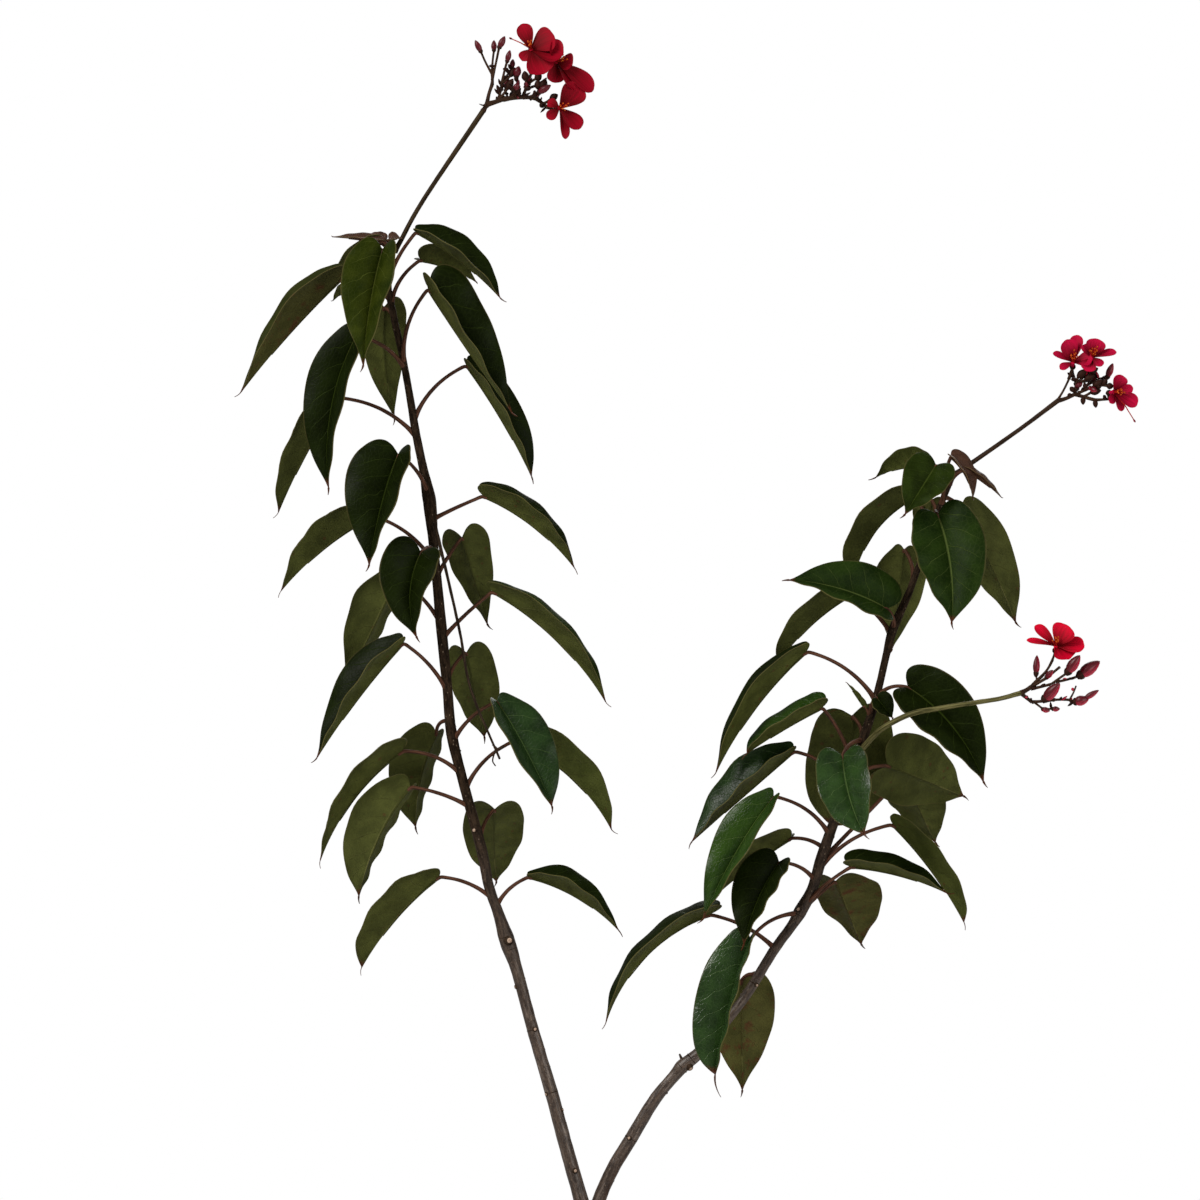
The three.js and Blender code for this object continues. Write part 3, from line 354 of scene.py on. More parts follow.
class Sheet:
    """The nodes of one material, added and linked step by step."""

    def __init__(self, name: str) -> None:
        """Starts an empty material."""
        self.material = bpy.data.materials.new(name)
        self.material.use_nodes = True
        self.tree = self.material.node_tree
        self.tree.nodes.clear()
        output = self.tree.nodes.new("ShaderNodeOutputMaterial")
        self.skin = self.tree.nodes.new("ShaderNodeBsdfPrincipled")
        self.tree.links.new(self.skin.outputs[0], output.inputs[0])

    def feed(self, socket: bpy.types.NodeSocket, value: Any) -> None:
        """Links a wire to a socket, or sets the socket's own value."""
        if isinstance(value, Wire):
            self.tree.links.new(value.socket, socket)
        elif socket.type == "RGBA":
            socket.default_value = (*value, 1.0)
        else:
            socket.default_value = value

    def node(self, kind: str, feeds: dict[Any, Any] | None = None, **settings: Any) -> list[Wire]:
        """Adds a node.

        Args:
            kind: Its kind, without Blender's "ShaderNode".
            feeds: What its sockets are fed, by their names or numbers.
            settings: Its own settings.

        Returns:
            Its outputs.
        """
        node = self.tree.nodes.new(f"ShaderNode{kind}")
        for name, value in settings.items():
            setattr(node, name, value)
        for socket, value in (feeds or {}).items():
            self.feed(node.inputs[socket], value)
        return [Wire(self, socket) for socket in node.outputs]

    def place(self) -> Wire:
        """The place that every point carries."""
        return self.node("Attribute", attribute_name="place")[1]

    def spot(self) -> Wire:
        """Where the shaded point lies, in metres."""
        return self.node("NewGeometry")[0]

    def parts(self, vector: Wire) -> list[Wire]:
        """The three numbers of a vector."""
        return self.node("SeparateXYZ", {0: vector})

    def join(self, x: Wire, y: Wire, z: Wire) -> Wire:
        """A vector from three numbers."""
        return self.node("CombineXYZ", {0: x, 1: y, 2: z})[0]

    def work(self, operation: str, first: Wire | float, second: Wire | float = 0.0) -> Wire:
        """One step of arithmetic."""
        return self.node("Math", {0: first, 1: second}, operation=operation)[0]

    def most(self, first: Wire, second: Wire) -> Wire:
        """The greater of two numbers."""
        return self.work("MAXIMUM", first, second)

    def step(self, value: Wire, low: float, high: float, start: float = 0.0, end: float = 1.0) -> Wire:
        """A soft step from start, where value is low, to end, where it is high."""
        feeds = {"Value": value, "From Min": low, "From Max": high, "To Min": start, "To Max": end}
        return self.node("MapRange", feeds, interpolation_type="SMOOTHSTEP")[0]

    def stretch(self, vector: Wire, scale: Place) -> Wire:
        """A vector with each of its numbers scaled."""
        return self.node("VectorMath", {0: vector, 1: scale}, operation="MULTIPLY")[0]

    def grain(self, vector: Wire, scale: float, detail: float = 3.0, rough: float = 0.55) -> Wire:
        """Soft noise, about 0.3 to 0.7."""
        feeds = {"Vector": vector, "Scale": scale, "Detail": detail, "Roughness": rough}
        return self.node("TexNoise", feeds)[0]

    def cells(self, vector: Wire, scale: float, feature: str = "F1") -> Wire:
        """The distance to the nearest cell's middle, or to the edge between cells."""
        return self.node("TexVoronoi", {"Vector": vector, "Scale": scale}, feature=feature)[0]

    def mix(self, share: Wire, first: Wire | Colour, second: Wire | Colour) -> Wire:
        """A colour between two."""
        return self.node("Mix", {0: share, 6: first, 7: second}, data_type="RGBA")[2]

    def relief(self, height: Wire, depth: float, strength: float = 1.0, under: Wire | None = None) -> Wire:
        """A bumped surface normal.

        Args:
            height: The relief, 0 to 1.
            depth: How far 1 stands above 0, in metres.
            strength: How much of it shows.
            under: The normal of a coarser relief below it.

        Returns:
            The normal.
        """
        feeds = {"Strength": strength, "Distance": depth, "Height": height}
        if under is not None:
            feeds["Normal"] = under
        return self.node("Bump", feeds)[0]

    def finish(self, colour: Wire, roughness: Wire | float, normal: Wire,
               specular: Wire | float) -> bpy.types.Material:
        """Sets the skin's own sockets.

        Args:
            colour: The base colour.
            roughness: The roughness.
            normal: The bumped normal.
            specular: How strongly the surface mirrors, as a number, or as a wire where it varies.

        Returns:
            The material.
        """
        for socket, value in (("Base Color", colour), ("Roughness", roughness), ("Normal", normal),
                              ("Specular IOR Level", specular)):
            self.feed(self.skin.inputs[socket], value)
        return self.material


@dataclass(frozen=True)
class LeafFinish:
    """The two faces of a leaf: a green top and a matt olive underside, with their veins.

    VEINS is how many side veins there are, SWEEP how far they run forward, STAGGER how far left and right
    are out of step, and SPAN the half width and the length, in millimetres, that the patterns are drawn for.
    """

    name: str
    dark: Colour
    light: Colour
    vein: Colour = srgb(70, 82, 34)
    under_dark: Colour = srgb(54, 57, 23)
    under_light: Colour = srgb(80, 84, 39)
    under_vein: Colour = srgb(104, 102, 58)
    margin: Colour = srgb(104, 92, 58)
    brown: Colour = srgb(78, 44, 26)
    gloss: float = 0.42
    specular: float = 0.04
    vein_show: float = 0.75
    blotches: float = 0.0

    VEINS = 7.0
    SWEEP = 0.17
    STAGGER = 0.17
    SPAN = (22.0, 90.0)
    GROOVE = 0.00025
    RIB = 0.0004
    TOP_GRAIN = 0.00005
    UNDER_GRAIN = 0.00009
    UNDER_SPECULAR = 0.08

    def vein_masks(self, sheet: Sheet) -> tuple[Wire, Wire, Wire, tuple[Wire, Wire], Wire]:
        """Where the midrib, the side veins and the fine net lie.

        Args:
            sheet: The material's nodes.

        Returns:
            Masks for midrib, side veins and net, then the shares across and along, and the blade laid flat.
        """
        across, along, seed = sheet.parts(sheet.place())
        width = sheet.work("ABSOLUTE", across)
        half, length = self.SPAN
        flat = sheet.join(across * half, along * length, seed * 40.0)
        uneven = sheet.grain(flat, 0.07, 2.0) * 0.7 + sheet.work("SIGN", across) * self.STAGGER
        turn = (along - width * self.SWEEP) * self.VEINS + uneven
        distance = sheet.work("ABSOLUTE", sheet.work("FRACT", turn) - 0.5)
        fade = sheet.step(width, 0.95, 0.5, 0.1, 1.0) * sheet.step(along, 0.97, 0.85)
        side = sheet.step(distance, 0.03, 0.004) * fade
        midrib = sheet.step(width, 0.045, 0.02)
        net = sheet.step(sheet.cells(flat, 0.42, "DISTANCE_TO_EDGE"), 0.12, 0.0)
        return midrib, side, net, (width, along), flat

    def tip_mask(self, sheet: Sheet, along: Wire, flat: Wire) -> Wire:
        """Where the drip tip has dried brown."""
        return sheet.step(along + sheet.grain(flat, 0.3, 2.0) * 0.06, 0.95, 1.01)

    def top(self) -> bpy.types.Material:
        """The upper face."""
        sheet = Sheet(f"leaf_{self.name}_top")
        midrib, side, net, (width, along), flat = self.vein_masks(sheet)
        colour = sheet.mix(sheet.step(sheet.grain(flat, 0.06), 0.25, 0.75), self.dark, self.light)
        colour = sheet.mix(sheet.most(midrib * 0.8, side * 0.5) * self.vein_show, colour, self.vein)
        colour = sheet.mix(net * 0.07, colour, self.vein)
        colour = sheet.mix(sheet.step(width, 0.955, 1.0) * 0.35, colour, self.margin)
        colour = sheet.mix(self.tip_mask(sheet, along, flat), colour, self.brown)
        roughness = sheet.grain(flat, 0.16, 4.0) * 0.12 + (self.gloss - 0.1)
        groove = sheet.relief(1.0 - sheet.most(midrib, side * 0.8), self.GROOVE)
        normal = sheet.relief(net + sheet.grain(flat, 1.3, 2.0), self.TOP_GRAIN, under=groove)
        return sheet.finish(colour, roughness, normal, self.specular)

    def under(self) -> bpy.types.Material:
        """The underside."""
        sheet = Sheet(f"leaf_{self.name}_under")
        midrib, side, net, (width, along), flat = self.vein_masks(sheet)
        colour = sheet.mix(sheet.step(sheet.grain(flat, 0.07), 0.2, 0.8), self.under_dark, self.under_light)
        colour = sheet.mix(sheet.most(midrib * 0.9, side * 0.4) * 0.7, colour, self.under_vein)
        colour = sheet.mix(net * 0.14, colour, self.under_dark)
        colour = sheet.mix(sheet.step(sheet.cells(flat, 0.1), 0.16, 0.08) * 0.45, colour, self.brown)
        if self.blotches:
            spots = sheet.step(sheet.grain(flat, 0.085, rough=0.7), 0.62 - 0.1 * self.blotches, 0.7)
            colour = sheet.mix(spots * 0.8, colour, self.brown)
        colour = sheet.mix(sheet.step(width, 0.965, 1.0) * 0.4, colour, self.margin)
        colour = sheet.mix(self.tip_mask(sheet, along, flat), colour, self.brown)
        ribs = sheet.relief(sheet.most(midrib, side * 0.8), self.RIB)
        normal = sheet.relief(net + sheet.grain(flat, 1.6), self.UNDER_GRAIN, under=ribs)
        return sheet.finish(colour, sheet.grain(flat, 0.2) * 0.2 + 0.55, normal, self.UNDER_SPECULAR)


class LeafTone(Enum):
    """How green and how glossy a leaf is. Its colours are partly painted shade and painted light: the tops
    are darkened as if lit from behind, and each leaf's tone is matched to the light on it.
    """

    DARK = LeafFinish("dark", srgb(12, 18, 2), srgb(22, 31, 5), srgb(62, 76, 28))
    DEEP = LeafFinish("deep", srgb(22, 32, 4), srgb(38, 52, 11), srgb(78, 92, 38))
    GREEN = LeafFinish("green", srgb(18, 33, 6), srgb(34, 52, 13), srgb(92, 106, 54), gloss=0.45,
                       vein_show=0.85)
    TEAL = LeafFinish("teal", srgb(18, 34, 11), srgb(36, 58, 25), srgb(92, 116, 66), gloss=0.32,
                      specular=0.13)
    BRIGHT = LeafFinish("bright", srgb(24, 46, 8), srgb(46, 72, 20), srgb(100, 122, 62), gloss=0.28,
                        specular=0.13, vein_show=0.85)
    GLOSSY = LeafFinish("glossy", srgb(22, 42, 12), srgb(44, 70, 28), srgb(98, 122, 70), gloss=0.27,
                        specular=0.28, vein_show=0.85)
    LIGHT = LeafFinish("light", srgb(26, 36, 3), srgb(50, 58, 11), srgb(96, 104, 44), srgb(58, 64, 24),
                       srgb(82, 88, 40))
    BROWNED = LeafFinish("browned", srgb(36, 42, 14), srgb(52, 56, 22), srgb(92, 90, 48), srgb(58, 58, 26),
                         srgb(80, 78, 38), blotches=1.0)
    BRACT = LeafFinish("bract", srgb(52, 34, 24), srgb(84, 56, 42), srgb(106, 78, 58), srgb(60, 40, 28),
                       srgb(96, 66, 50), specular=0.15)

    def materials(self) -> list[bpy.types.Material]:
        """The materials of the top, the underside and the stalk, made once."""
        if self.name not in LEAF_MATERIALS:
            petiole = StalkFinish(f"petiole_{self.value.name}")
            LEAF_MATERIALS[self.name] = [self.value.top(), self.value.under(), petiole.material()]
        return LEAF_MATERIALS[self.name]


LEAF_MATERIALS: dict[str, list[bpy.types.Material]] = {}


@dataclass(frozen=True)
class StalkFinish:
    """A young stalk's thin skin: smooth, faintly ridged and browned here and there."""

    name: str
    dark: Colour = srgb(50, 30, 20)
    light: Colour = srgb(98, 64, 48)
    gloss: float = 0.5

    def material(self) -> bpy.types.Material:
        """The stalk's material."""
        sheet = Sheet(f"stalk_{self.name}")
        place = sheet.place()
        streaks = sheet.grain(sheet.stretch(place, (1.4, 1.4, 0.08)), 1.0, 4.0)
        specks = sheet.step(sheet.cells(sheet.stretch(place, (1.0, 1.0, 0.5)), 0.6), 0.16, 0.08)
        colour = sheet.mix(sheet.step(streaks, 0.35, 0.65), self.dark, self.light)
        colour = sheet.mix(specks * 0.5, colour, self.light)
        normal = sheet.relief(streaks + specks, 0.00015)
        return sheet.finish(colour, streaks * 0.2 + (self.gloss - 0.1), normal, 0.08)


@dataclass(frozen=True)
class BarkFinish:
    """Thin bark with cracks and pale pores: brown and faintly glossy below, darker and dull above.

    young_from and young_to are the heights, in metres, between which it changes.
    """

    name: str
    old_dark: Colour = srgb(46, 34, 27)
    old_light: Colour = srgb(93, 77, 65)
    patch: Colour = srgb(124, 111, 102)
    young_dark: Colour = srgb(18, 11, 5)
    young_light: Colour = srgb(58, 44, 32)
    pore: Colour = srgb(136, 118, 100)
    young_from: float = 0.35
    young_to: float = 0.54
    mirror: float = 0.42
    mirror_lost: float = 0.37

    def material(self) -> bpy.types.Material:
        """The bark's material."""
        sheet = Sheet(f"bark_{self.name}")
        place = sheet.place()
        youth = sheet.step(sheet.parts(sheet.spot())[2], self.young_from, self.young_to)
        streaks = sheet.grain(sheet.stretch(place, (0.5, 0.5, 0.12)), 1.0, 6.0, 0.66)
        fine = sheet.grain(sheet.stretch(place, (1.5, 1.5, 0.7)), 1.0, 6.0, 0.75)
        tone = sheet.step(streaks * 0.6 + fine * 0.4, 0.4, 0.62)
        skin = sheet.step(sheet.grain(sheet.stretch(place, (0.24, 0.24, 0.03)), 1.0, 4.0, 0.6), 0.52, 0.64)
        old = sheet.mix(skin * tone * 0.7, sheet.mix(tone, self.old_dark, self.old_light), self.patch)
        colour = sheet.mix(youth, old, sheet.mix(tone, self.young_dark, self.young_light))
        pores = sheet.step(sheet.cells(sheet.stretch(place, (0.5, 0.5, 0.34)), 0.62), 0.17, 0.09)
        edges = sheet.cells(sheet.stretch(place, (0.5, 0.5, 0.1)), 0.6, "DISTANCE_TO_EDGE")
        cracks = sheet.step(edges, 0.07, 0.0)
        pits = sheet.step(sheet.cells(sheet.stretch(place, (0.8, 0.8, 0.5)), 0.9), 0.2, 0.1)
        for mask, paint in ((pores * 0.55, self.pore), (cracks * 0.35, self.old_dark),
                            (pits * 0.6, self.young_dark)):
            colour = sheet.mix(mask, colour, paint)
        coarse = sheet.relief(streaks - cracks * 0.5 + pores, 0.00022)
        normal = sheet.relief(fine, 0.00012, under=coarse)
        roughness = fine * 0.3 + youth * 0.3 + 0.2
        return sheet.finish(colour, roughness, normal, self.mirror - youth * self.mirror_lost)


@dataclass(frozen=True)
class PetalFinish:
    """Crimson petals with faint lengthwise veins, with painted shade towards the base and painted light
    towards the margin.
    """

    name: str
    deep: Colour
    bright: Colour
    gloss: float = 0.6
    specular: float = 0.1

    def material(self) -> bpy.types.Material:
        """The petals' material."""
        sheet = Sheet(f"petal_{self.name}")
        across, along, seed = sheet.parts(sheet.place())
        lines = sheet.grain(sheet.join(across * 9.0, along, seed), 1.0)
        # deep is the red as it looks in shade and bright the red as it looks in light, so this blend paints
        # shade and light into the colour
        colour = sheet.mix(sheet.step(along * 0.55 + lines * 0.6, 0.3, 0.95), self.deep, self.bright)
        normal = sheet.relief(lines, 0.0002)
        return sheet.finish(colour, lines * 0.3 + (self.gloss - 0.12), normal, self.specular)


@dataclass(frozen=True)
class ClayFinish:
    """Fired clay: sandy and mottled, with a paler bloom of salts low on the wall."""

    dark: Colour = srgb(142, 78, 52)
    light: Colour = srgb(186, 112, 78)
    salt: Colour = srgb(206, 178, 156)

    def material(self) -> bpy.types.Material:
        """The pot's material."""
        sheet = Sheet("pot_clay")
        spot = sheet.spot()
        height = sheet.parts(spot)[2]
        colour = sheet.mix(sheet.step(sheet.grain(spot, 14.0, 6.0, 0.62), 0.34, 0.66), self.dark, self.light)
        salts = sheet.step(sheet.grain(spot, 22.0, 5.0, 0.7), 0.52, 0.68) * sheet.step(height, 0.11, 0.0)
        colour = sheet.mix(salts * 0.75, colour, self.salt)
        specks = sheet.step(sheet.cells(spot, 240.0), 0.2, 0.1)
        colour = sheet.mix(specks * 0.25, colour, self.dark)
        sand = sheet.grain(spot, 420.0)
        rings = sheet.relief(sheet.grain(sheet.stretch(spot, (4.0, 4.0, 260.0)), 1.0), 0.0005, 0.6)
        normal = sheet.relief(sand - specks, 0.0003, under=rings)
        return sheet.finish(colour, sand * 0.15 + 0.76, normal, 0.25)


@dataclass(frozen=True)
class SoilFinish:
    """Potting mix: dark crumbs with paler fibres and grit."""

    dark: Colour = srgb(34, 24, 17)
    light: Colour = srgb(74, 55, 40)
    grit: Colour = srgb(146, 130, 108)

    def material(self) -> bpy.types.Material:
        """The soil's material."""
        sheet = Sheet("soil_mix")
        spot = sheet.spot()
        clumps = sheet.grain(spot, 90.0, 6.0, 0.7)
        colour = sheet.mix(sheet.step(clumps, 0.38, 0.64), self.dark, self.light)
        stones = sheet.step(sheet.cells(spot, 150.0), 0.13, 0.08)
        sandy = sheet.step(sheet.grain(spot, 40.0), 0.5, 0.58)
        colour = sheet.mix(stones * sandy, colour, self.grit)
        normal = sheet.relief(sheet.cells(spot, 260.0), 0.0012, under=sheet.relief(clumps, 0.003))
        return sheet.finish(colour, 0.92, normal, 0.15)


@dataclass(frozen=True)
class StudioFinish:
    """The pale floor that the object stands on."""

    colour: Colour = (0.82, 0.82, 0.81)
    worn: Colour = (0.72, 0.72, 0.71)

    def material(self) -> bpy.types.Material:
        """The floor's material."""
        sheet = Sheet("floor")
        soft = sheet.grain(sheet.spot(), 3.0, 2.0)
        colour = sheet.mix(soft * 0.06, self.colour, self.worn)
        return sheet.finish(colour, 0.7, sheet.relief(soft, 0.0001), 0.2)


def dress(piece: bpy.types.Object, slot: str, *nodes: str) -> bpy.types.Object:
    """Rides a piece on the body and hides the solids that it stands for."""
    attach(piece, BODY)
    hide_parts(*nodes)
    return piece


# Stems

@dataclass
class Stem:
    """One woody stem as points of width, height and radius, and how far it leans away as it rises."""

    lean: float
    points: list[tuple[float, float, float]]
    SIDES = 22
    RING_GAP = 4.0
    ROUGH = 0.05

    def at(self, up: float) -> tuple[Vector, float]:
        """The axis point at a height above the fork, and the radius there."""
        i = next((n for n, point in enumerate(self.points) if point[1] >= up), 1)
        i = max(i, 1)
        low, high = self.points[i - 1], self.points[i]
        share = (up - low[1]) / (high[1] - low[1])
        across = low[0] + (high[0] - low[0]) * share
        return from_fork(across, up, up * self.lean), low[2] + (high[2] - low[2]) * share

    def seat(self, up: float, step: float = 3.0) -> tuple[Vector, float, Vector]:
        """The axis point at a height, the radius there, and the way that the stem runs over a short step."""
        centre, radius = self.at(up)
        return centre, radius, (self.at(up + step)[0] - centre).normalized()

    def add_to(self, surface: Surface, seed: float) -> None:
        """Adds the stem's uneven, noded tube."""
        knots = [from_fork(across, up, up * self.lean) for across, up, _ in self.points]
        length = sum((b.xz - a.xz).length for a, b in zip(knots, knots[1:]))
        surface.add_taper(knots, [point[2] for point in self.points], int(length / self.RING_GAP), self.SIDES,
                          rough=self.ROUGH, seed=seed)


TRUNK = Stem(0.0, [(1, -124, 8.4), (0.6, -92, 9), (0.2, -62, 8.8), (0, -30, 8.4), (0, -8, 7.6)])
LEFT_STEM = Stem(0.03, [
    (-1, -20, 6.4), (-6.3, 0, 5.2), (-17, 38, 4.8), (-27, 75, 4.6), (-40, 119, 4.2), (-51, 160, 4.2),
    (-58, 181, 5.5), (-64, 200, 3.9), (-71, 220, 3.6), (-76, 245, 3.8), (-89, 293, 3.5), (-97, 326, 3.8),
    (-100, 358, 3.5), (-104, 398, 3.8), (-107, 430, 3.5), (-110, 461, 3.4), (-112.7, 490, 4.7),
    (-117, 512, 3.1), (-122.5, 539, 2.9), (-127, 566, 2.6), (-132, 593, 2.5), (-138, 620, 2.5),
    (-141.5, 641, 2.3), (-139, 668, 2.0),
])
RIGHT_STEM = Stem(-0.03, [
    (1.5, -18, 6), (6.3, 0, 4.7), (16, 22, 4.6), (28.7, 43, 4.6), (45, 70, 4.3), (59, 87, 4.2),
    (65, 94, 4.9), (76, 103, 4.1), (90, 119, 3.7), (103, 135, 3.4), (113.5, 150, 3.5), (128, 174, 3.5),
    (141, 192, 3.6), (147, 202, 4.6), (155.5, 218, 3.8), (162, 240, 4), (171, 266, 3.5), (180, 292, 3.4),
    (189, 318, 3.3), (195, 335, 3.1), (200, 351, 2.8), (206.5, 379, 2.6), (211.5, 399, 3.2),
    (222, 423, 2.6), (228, 439, 2.3), (246, 489, 2.3), (254, 508, 2.0),
])


@dataclass
class Scar:
    """The mark that a shed leaf or a cut twig leaves on a stem.

    Attributes:
        stem: The stem that it is on.
        up: Its height above the fork.
        turn: Where it sits round the stem, in degrees from the front.
        radius: Its size.
        cut: Whether it is a cut twig, which stands out further.
    """

    stem: Stem
    up: float
    turn: float
    radius: float
    cut: bool = False

    SIDES = 14
    SUNK = 0.45
    PROUD = 0.42
    CUT_PROUD = 0.75
    RIM = ((0.0, 1.25), (0.45, 1.15), (0.8, 0.95), (1.0, 0.72))
    FACE = ((0.0, 0.9), (0.6, 0.9), (1.0, 0.6))
    FACE_SIZE = 0.72
    FACE_LIFT = 0.08

    def add_to(self, surface: Surface) -> None:
        """Adds the raised ring, and the pale wood of a cut."""
        centre, stem_radius, ahead = self.stem.seat(self.up, 4.0)
        side = VIEWER.cross(ahead).normalized()
        front = (VIEWER - ahead * VIEWER.dot(ahead)).normalized()
        angle = math.radians(self.turn)
        out = front * math.cos(angle) + side * math.sin(angle)
        seat = centre + out * (stem_radius - self.radius * self.SUNK)
        top = centre + out * (stem_radius + self.radius * (self.CUT_PROUD if self.cut else self.PROUD))
        surface.add_lobe(seat, top, self.RIM, self.radius, self.SIDES, slot=Wood.DRY)
        lift = out * self.radius * self.FACE_LIFT
        surface.add_lobe(top - lift * 2, top + lift, self.FACE, self.radius * self.FACE_SIZE, self.SIDES,
                         slot=Wood.PALE)


@dataclass
class Wood:
    """Trunk and both stems, their scars, bud rings and pores, and the dry old flower stalk, all one piece."""

    scars: list[Scar] = field(default_factory=lambda: [
        Scar(LEFT_STEM, 181, -14, 2.9, cut=True), Scar(LEFT_STEM, 119, -22, 1.7),
        Scar(LEFT_STEM, 75, 52, 1.5), Scar(LEFT_STEM, 62, -66, 1.4), Scar(LEFT_STEM, 20, -20, 1.8),
        Scar(LEFT_STEM, 259, 20, 1.8), Scar(LEFT_STEM, 150, 70, 1.5),
        Scar(RIGHT_STEM, 96, -52, 2.3, cut=True), Scar(RIGHT_STEM, 43, 18, 1.6),
        Scar(RIGHT_STEM, 128, 60, 1.5), Scar(RIGHT_STEM, 203, 25, 1.9), Scar(RIGHT_STEM, 152, -40, 1.5),
    ])
    rings: list[tuple[Stem, float]] = field(default_factory=lambda: [
        *((LEFT_STEM, up) for up in (75, 119, 175, 184, 245, 262, 326, 331, 398, 461, 487, 494, 539, 593)),
        *((RIGHT_STEM, up) for up in (43, 93, 99, 119, 152, 200, 206, 240, 266, 292, 335, 399, 403, 439)),
    ])
    pores: int = 110
    old_stalk: list[Knot] = field(default_factory=lambda: [
        (-109, 474, -3, 1.5), (-101, 442, -9, 1.1), (-91, 398, -13, 1.0), (-83, 357, -16, 0.9),
        (-63, 309, -17, 0.8),
    ])
    twigs: list[list[Knot]] = field(default_factory=lambda: [
        [(-68, 319, -16.5, 0.7), (-64, 316, -18, 0.6), (-60, 318, -20, 0.5)],
        [(-66, 315, -17, 0.6), (-68, 308, -15, 0.5), (-66, 304, -14, 0.4)],
        [(66, 95, -3, 1.5), (64, 99, -3.4, 1.1), (62.6, 102.4, -3.8, 0.6)],
    ])

    # The slots that its finishes are in, and how bud rings and pores are shaped
    BARK, PALE, DRY = range(3)
    RING_STEP = 0.45
    RING_SWELL = (0.97, 1.045, 0.97)
    PORE = ((0.0, 1.0), (0.6, 0.85), (0.9, 0.5))
    PORE_HEIGHTS = (-5, 330)
    PORE_SIZES = (0.35, 0.75)

    def add_rings(self, surface: Surface) -> None:
        """Adds the low dark rings where buds and bracts once stood."""
        for stem, up in self.rings:
            centre, radius, ahead = stem.seat(up)
            path = [centre + ahead * (step * self.RING_STEP) for step in (-1, 0, 1)]
            surface.add_tube(path, [radius * swell for swell in self.RING_SWELL], Stem.SIDES, self.DRY,
                             Stem.ROUGH, up)

    def add_pores(self, surface: Surface) -> None:
        """Adds raised pores at random on the older wood."""
        draw = random.Random(7)
        for _ in range(self.pores):
            stem = draw.choice((LEFT_STEM, RIGHT_STEM))
            up = draw.uniform(*self.PORE_HEIGHTS)
            centre, radius, ahead = stem.seat(up)
            angle = draw.uniform(0, TURN)
            side = VIEWER.cross(ahead).normalized()
            front = ahead.cross(side)
            out = side * math.cos(angle) + front * math.sin(angle)
            size = draw.uniform(*self.PORE_SIZES)
            seat = centre + out * (radius * 0.96 - size * 0.4)
            top = centre + out * (radius + size * 0.38)
            surface.add_lobe(seat, top, self.PORE, size, 7, squash=1.6, facing=ahead)

    def add_stalk(self, surface: Surface, line: list[Knot]) -> None:
        """Adds a thin dry stalk along a line of points with a radius at each."""
        knots = [from_fork(*spot[:3]) for spot in line]
        count = 8 * (len(line) - 1)
        surface.add_taper(knots, [spot[3] for spot in line], count, 10, self.DRY, 0.18, len(line))

    def build(self) -> bpy.types.Object:
        """Makes the wood."""
        surface = Surface()
        for stem, seed in ((TRUNK, 3.0), (LEFT_STEM, 11.0), (RIGHT_STEM, 23.0)):
            stem.add_to(surface, seed)
        for scar in self.scars:
            scar.add_to(surface)
        self.add_rings(surface)
        self.add_pores(surface)
        for line in (self.old_stalk, *self.twigs):
            self.add_stalk(surface, line)
        cut_wood = StalkFinish("cut_wood", srgb(140, 112, 96), srgb(196, 172, 152), 0.7)
        dry = StalkFinish("dry", srgb(24, 16, 10), srgb(62, 48, 36), 0.7)
        finishes = [BarkFinish("stems").material(), cut_wood.material(), dry.material()]
        return dress(surface.build("stems_wood", finishes), "bark", "stems")


# Leaves

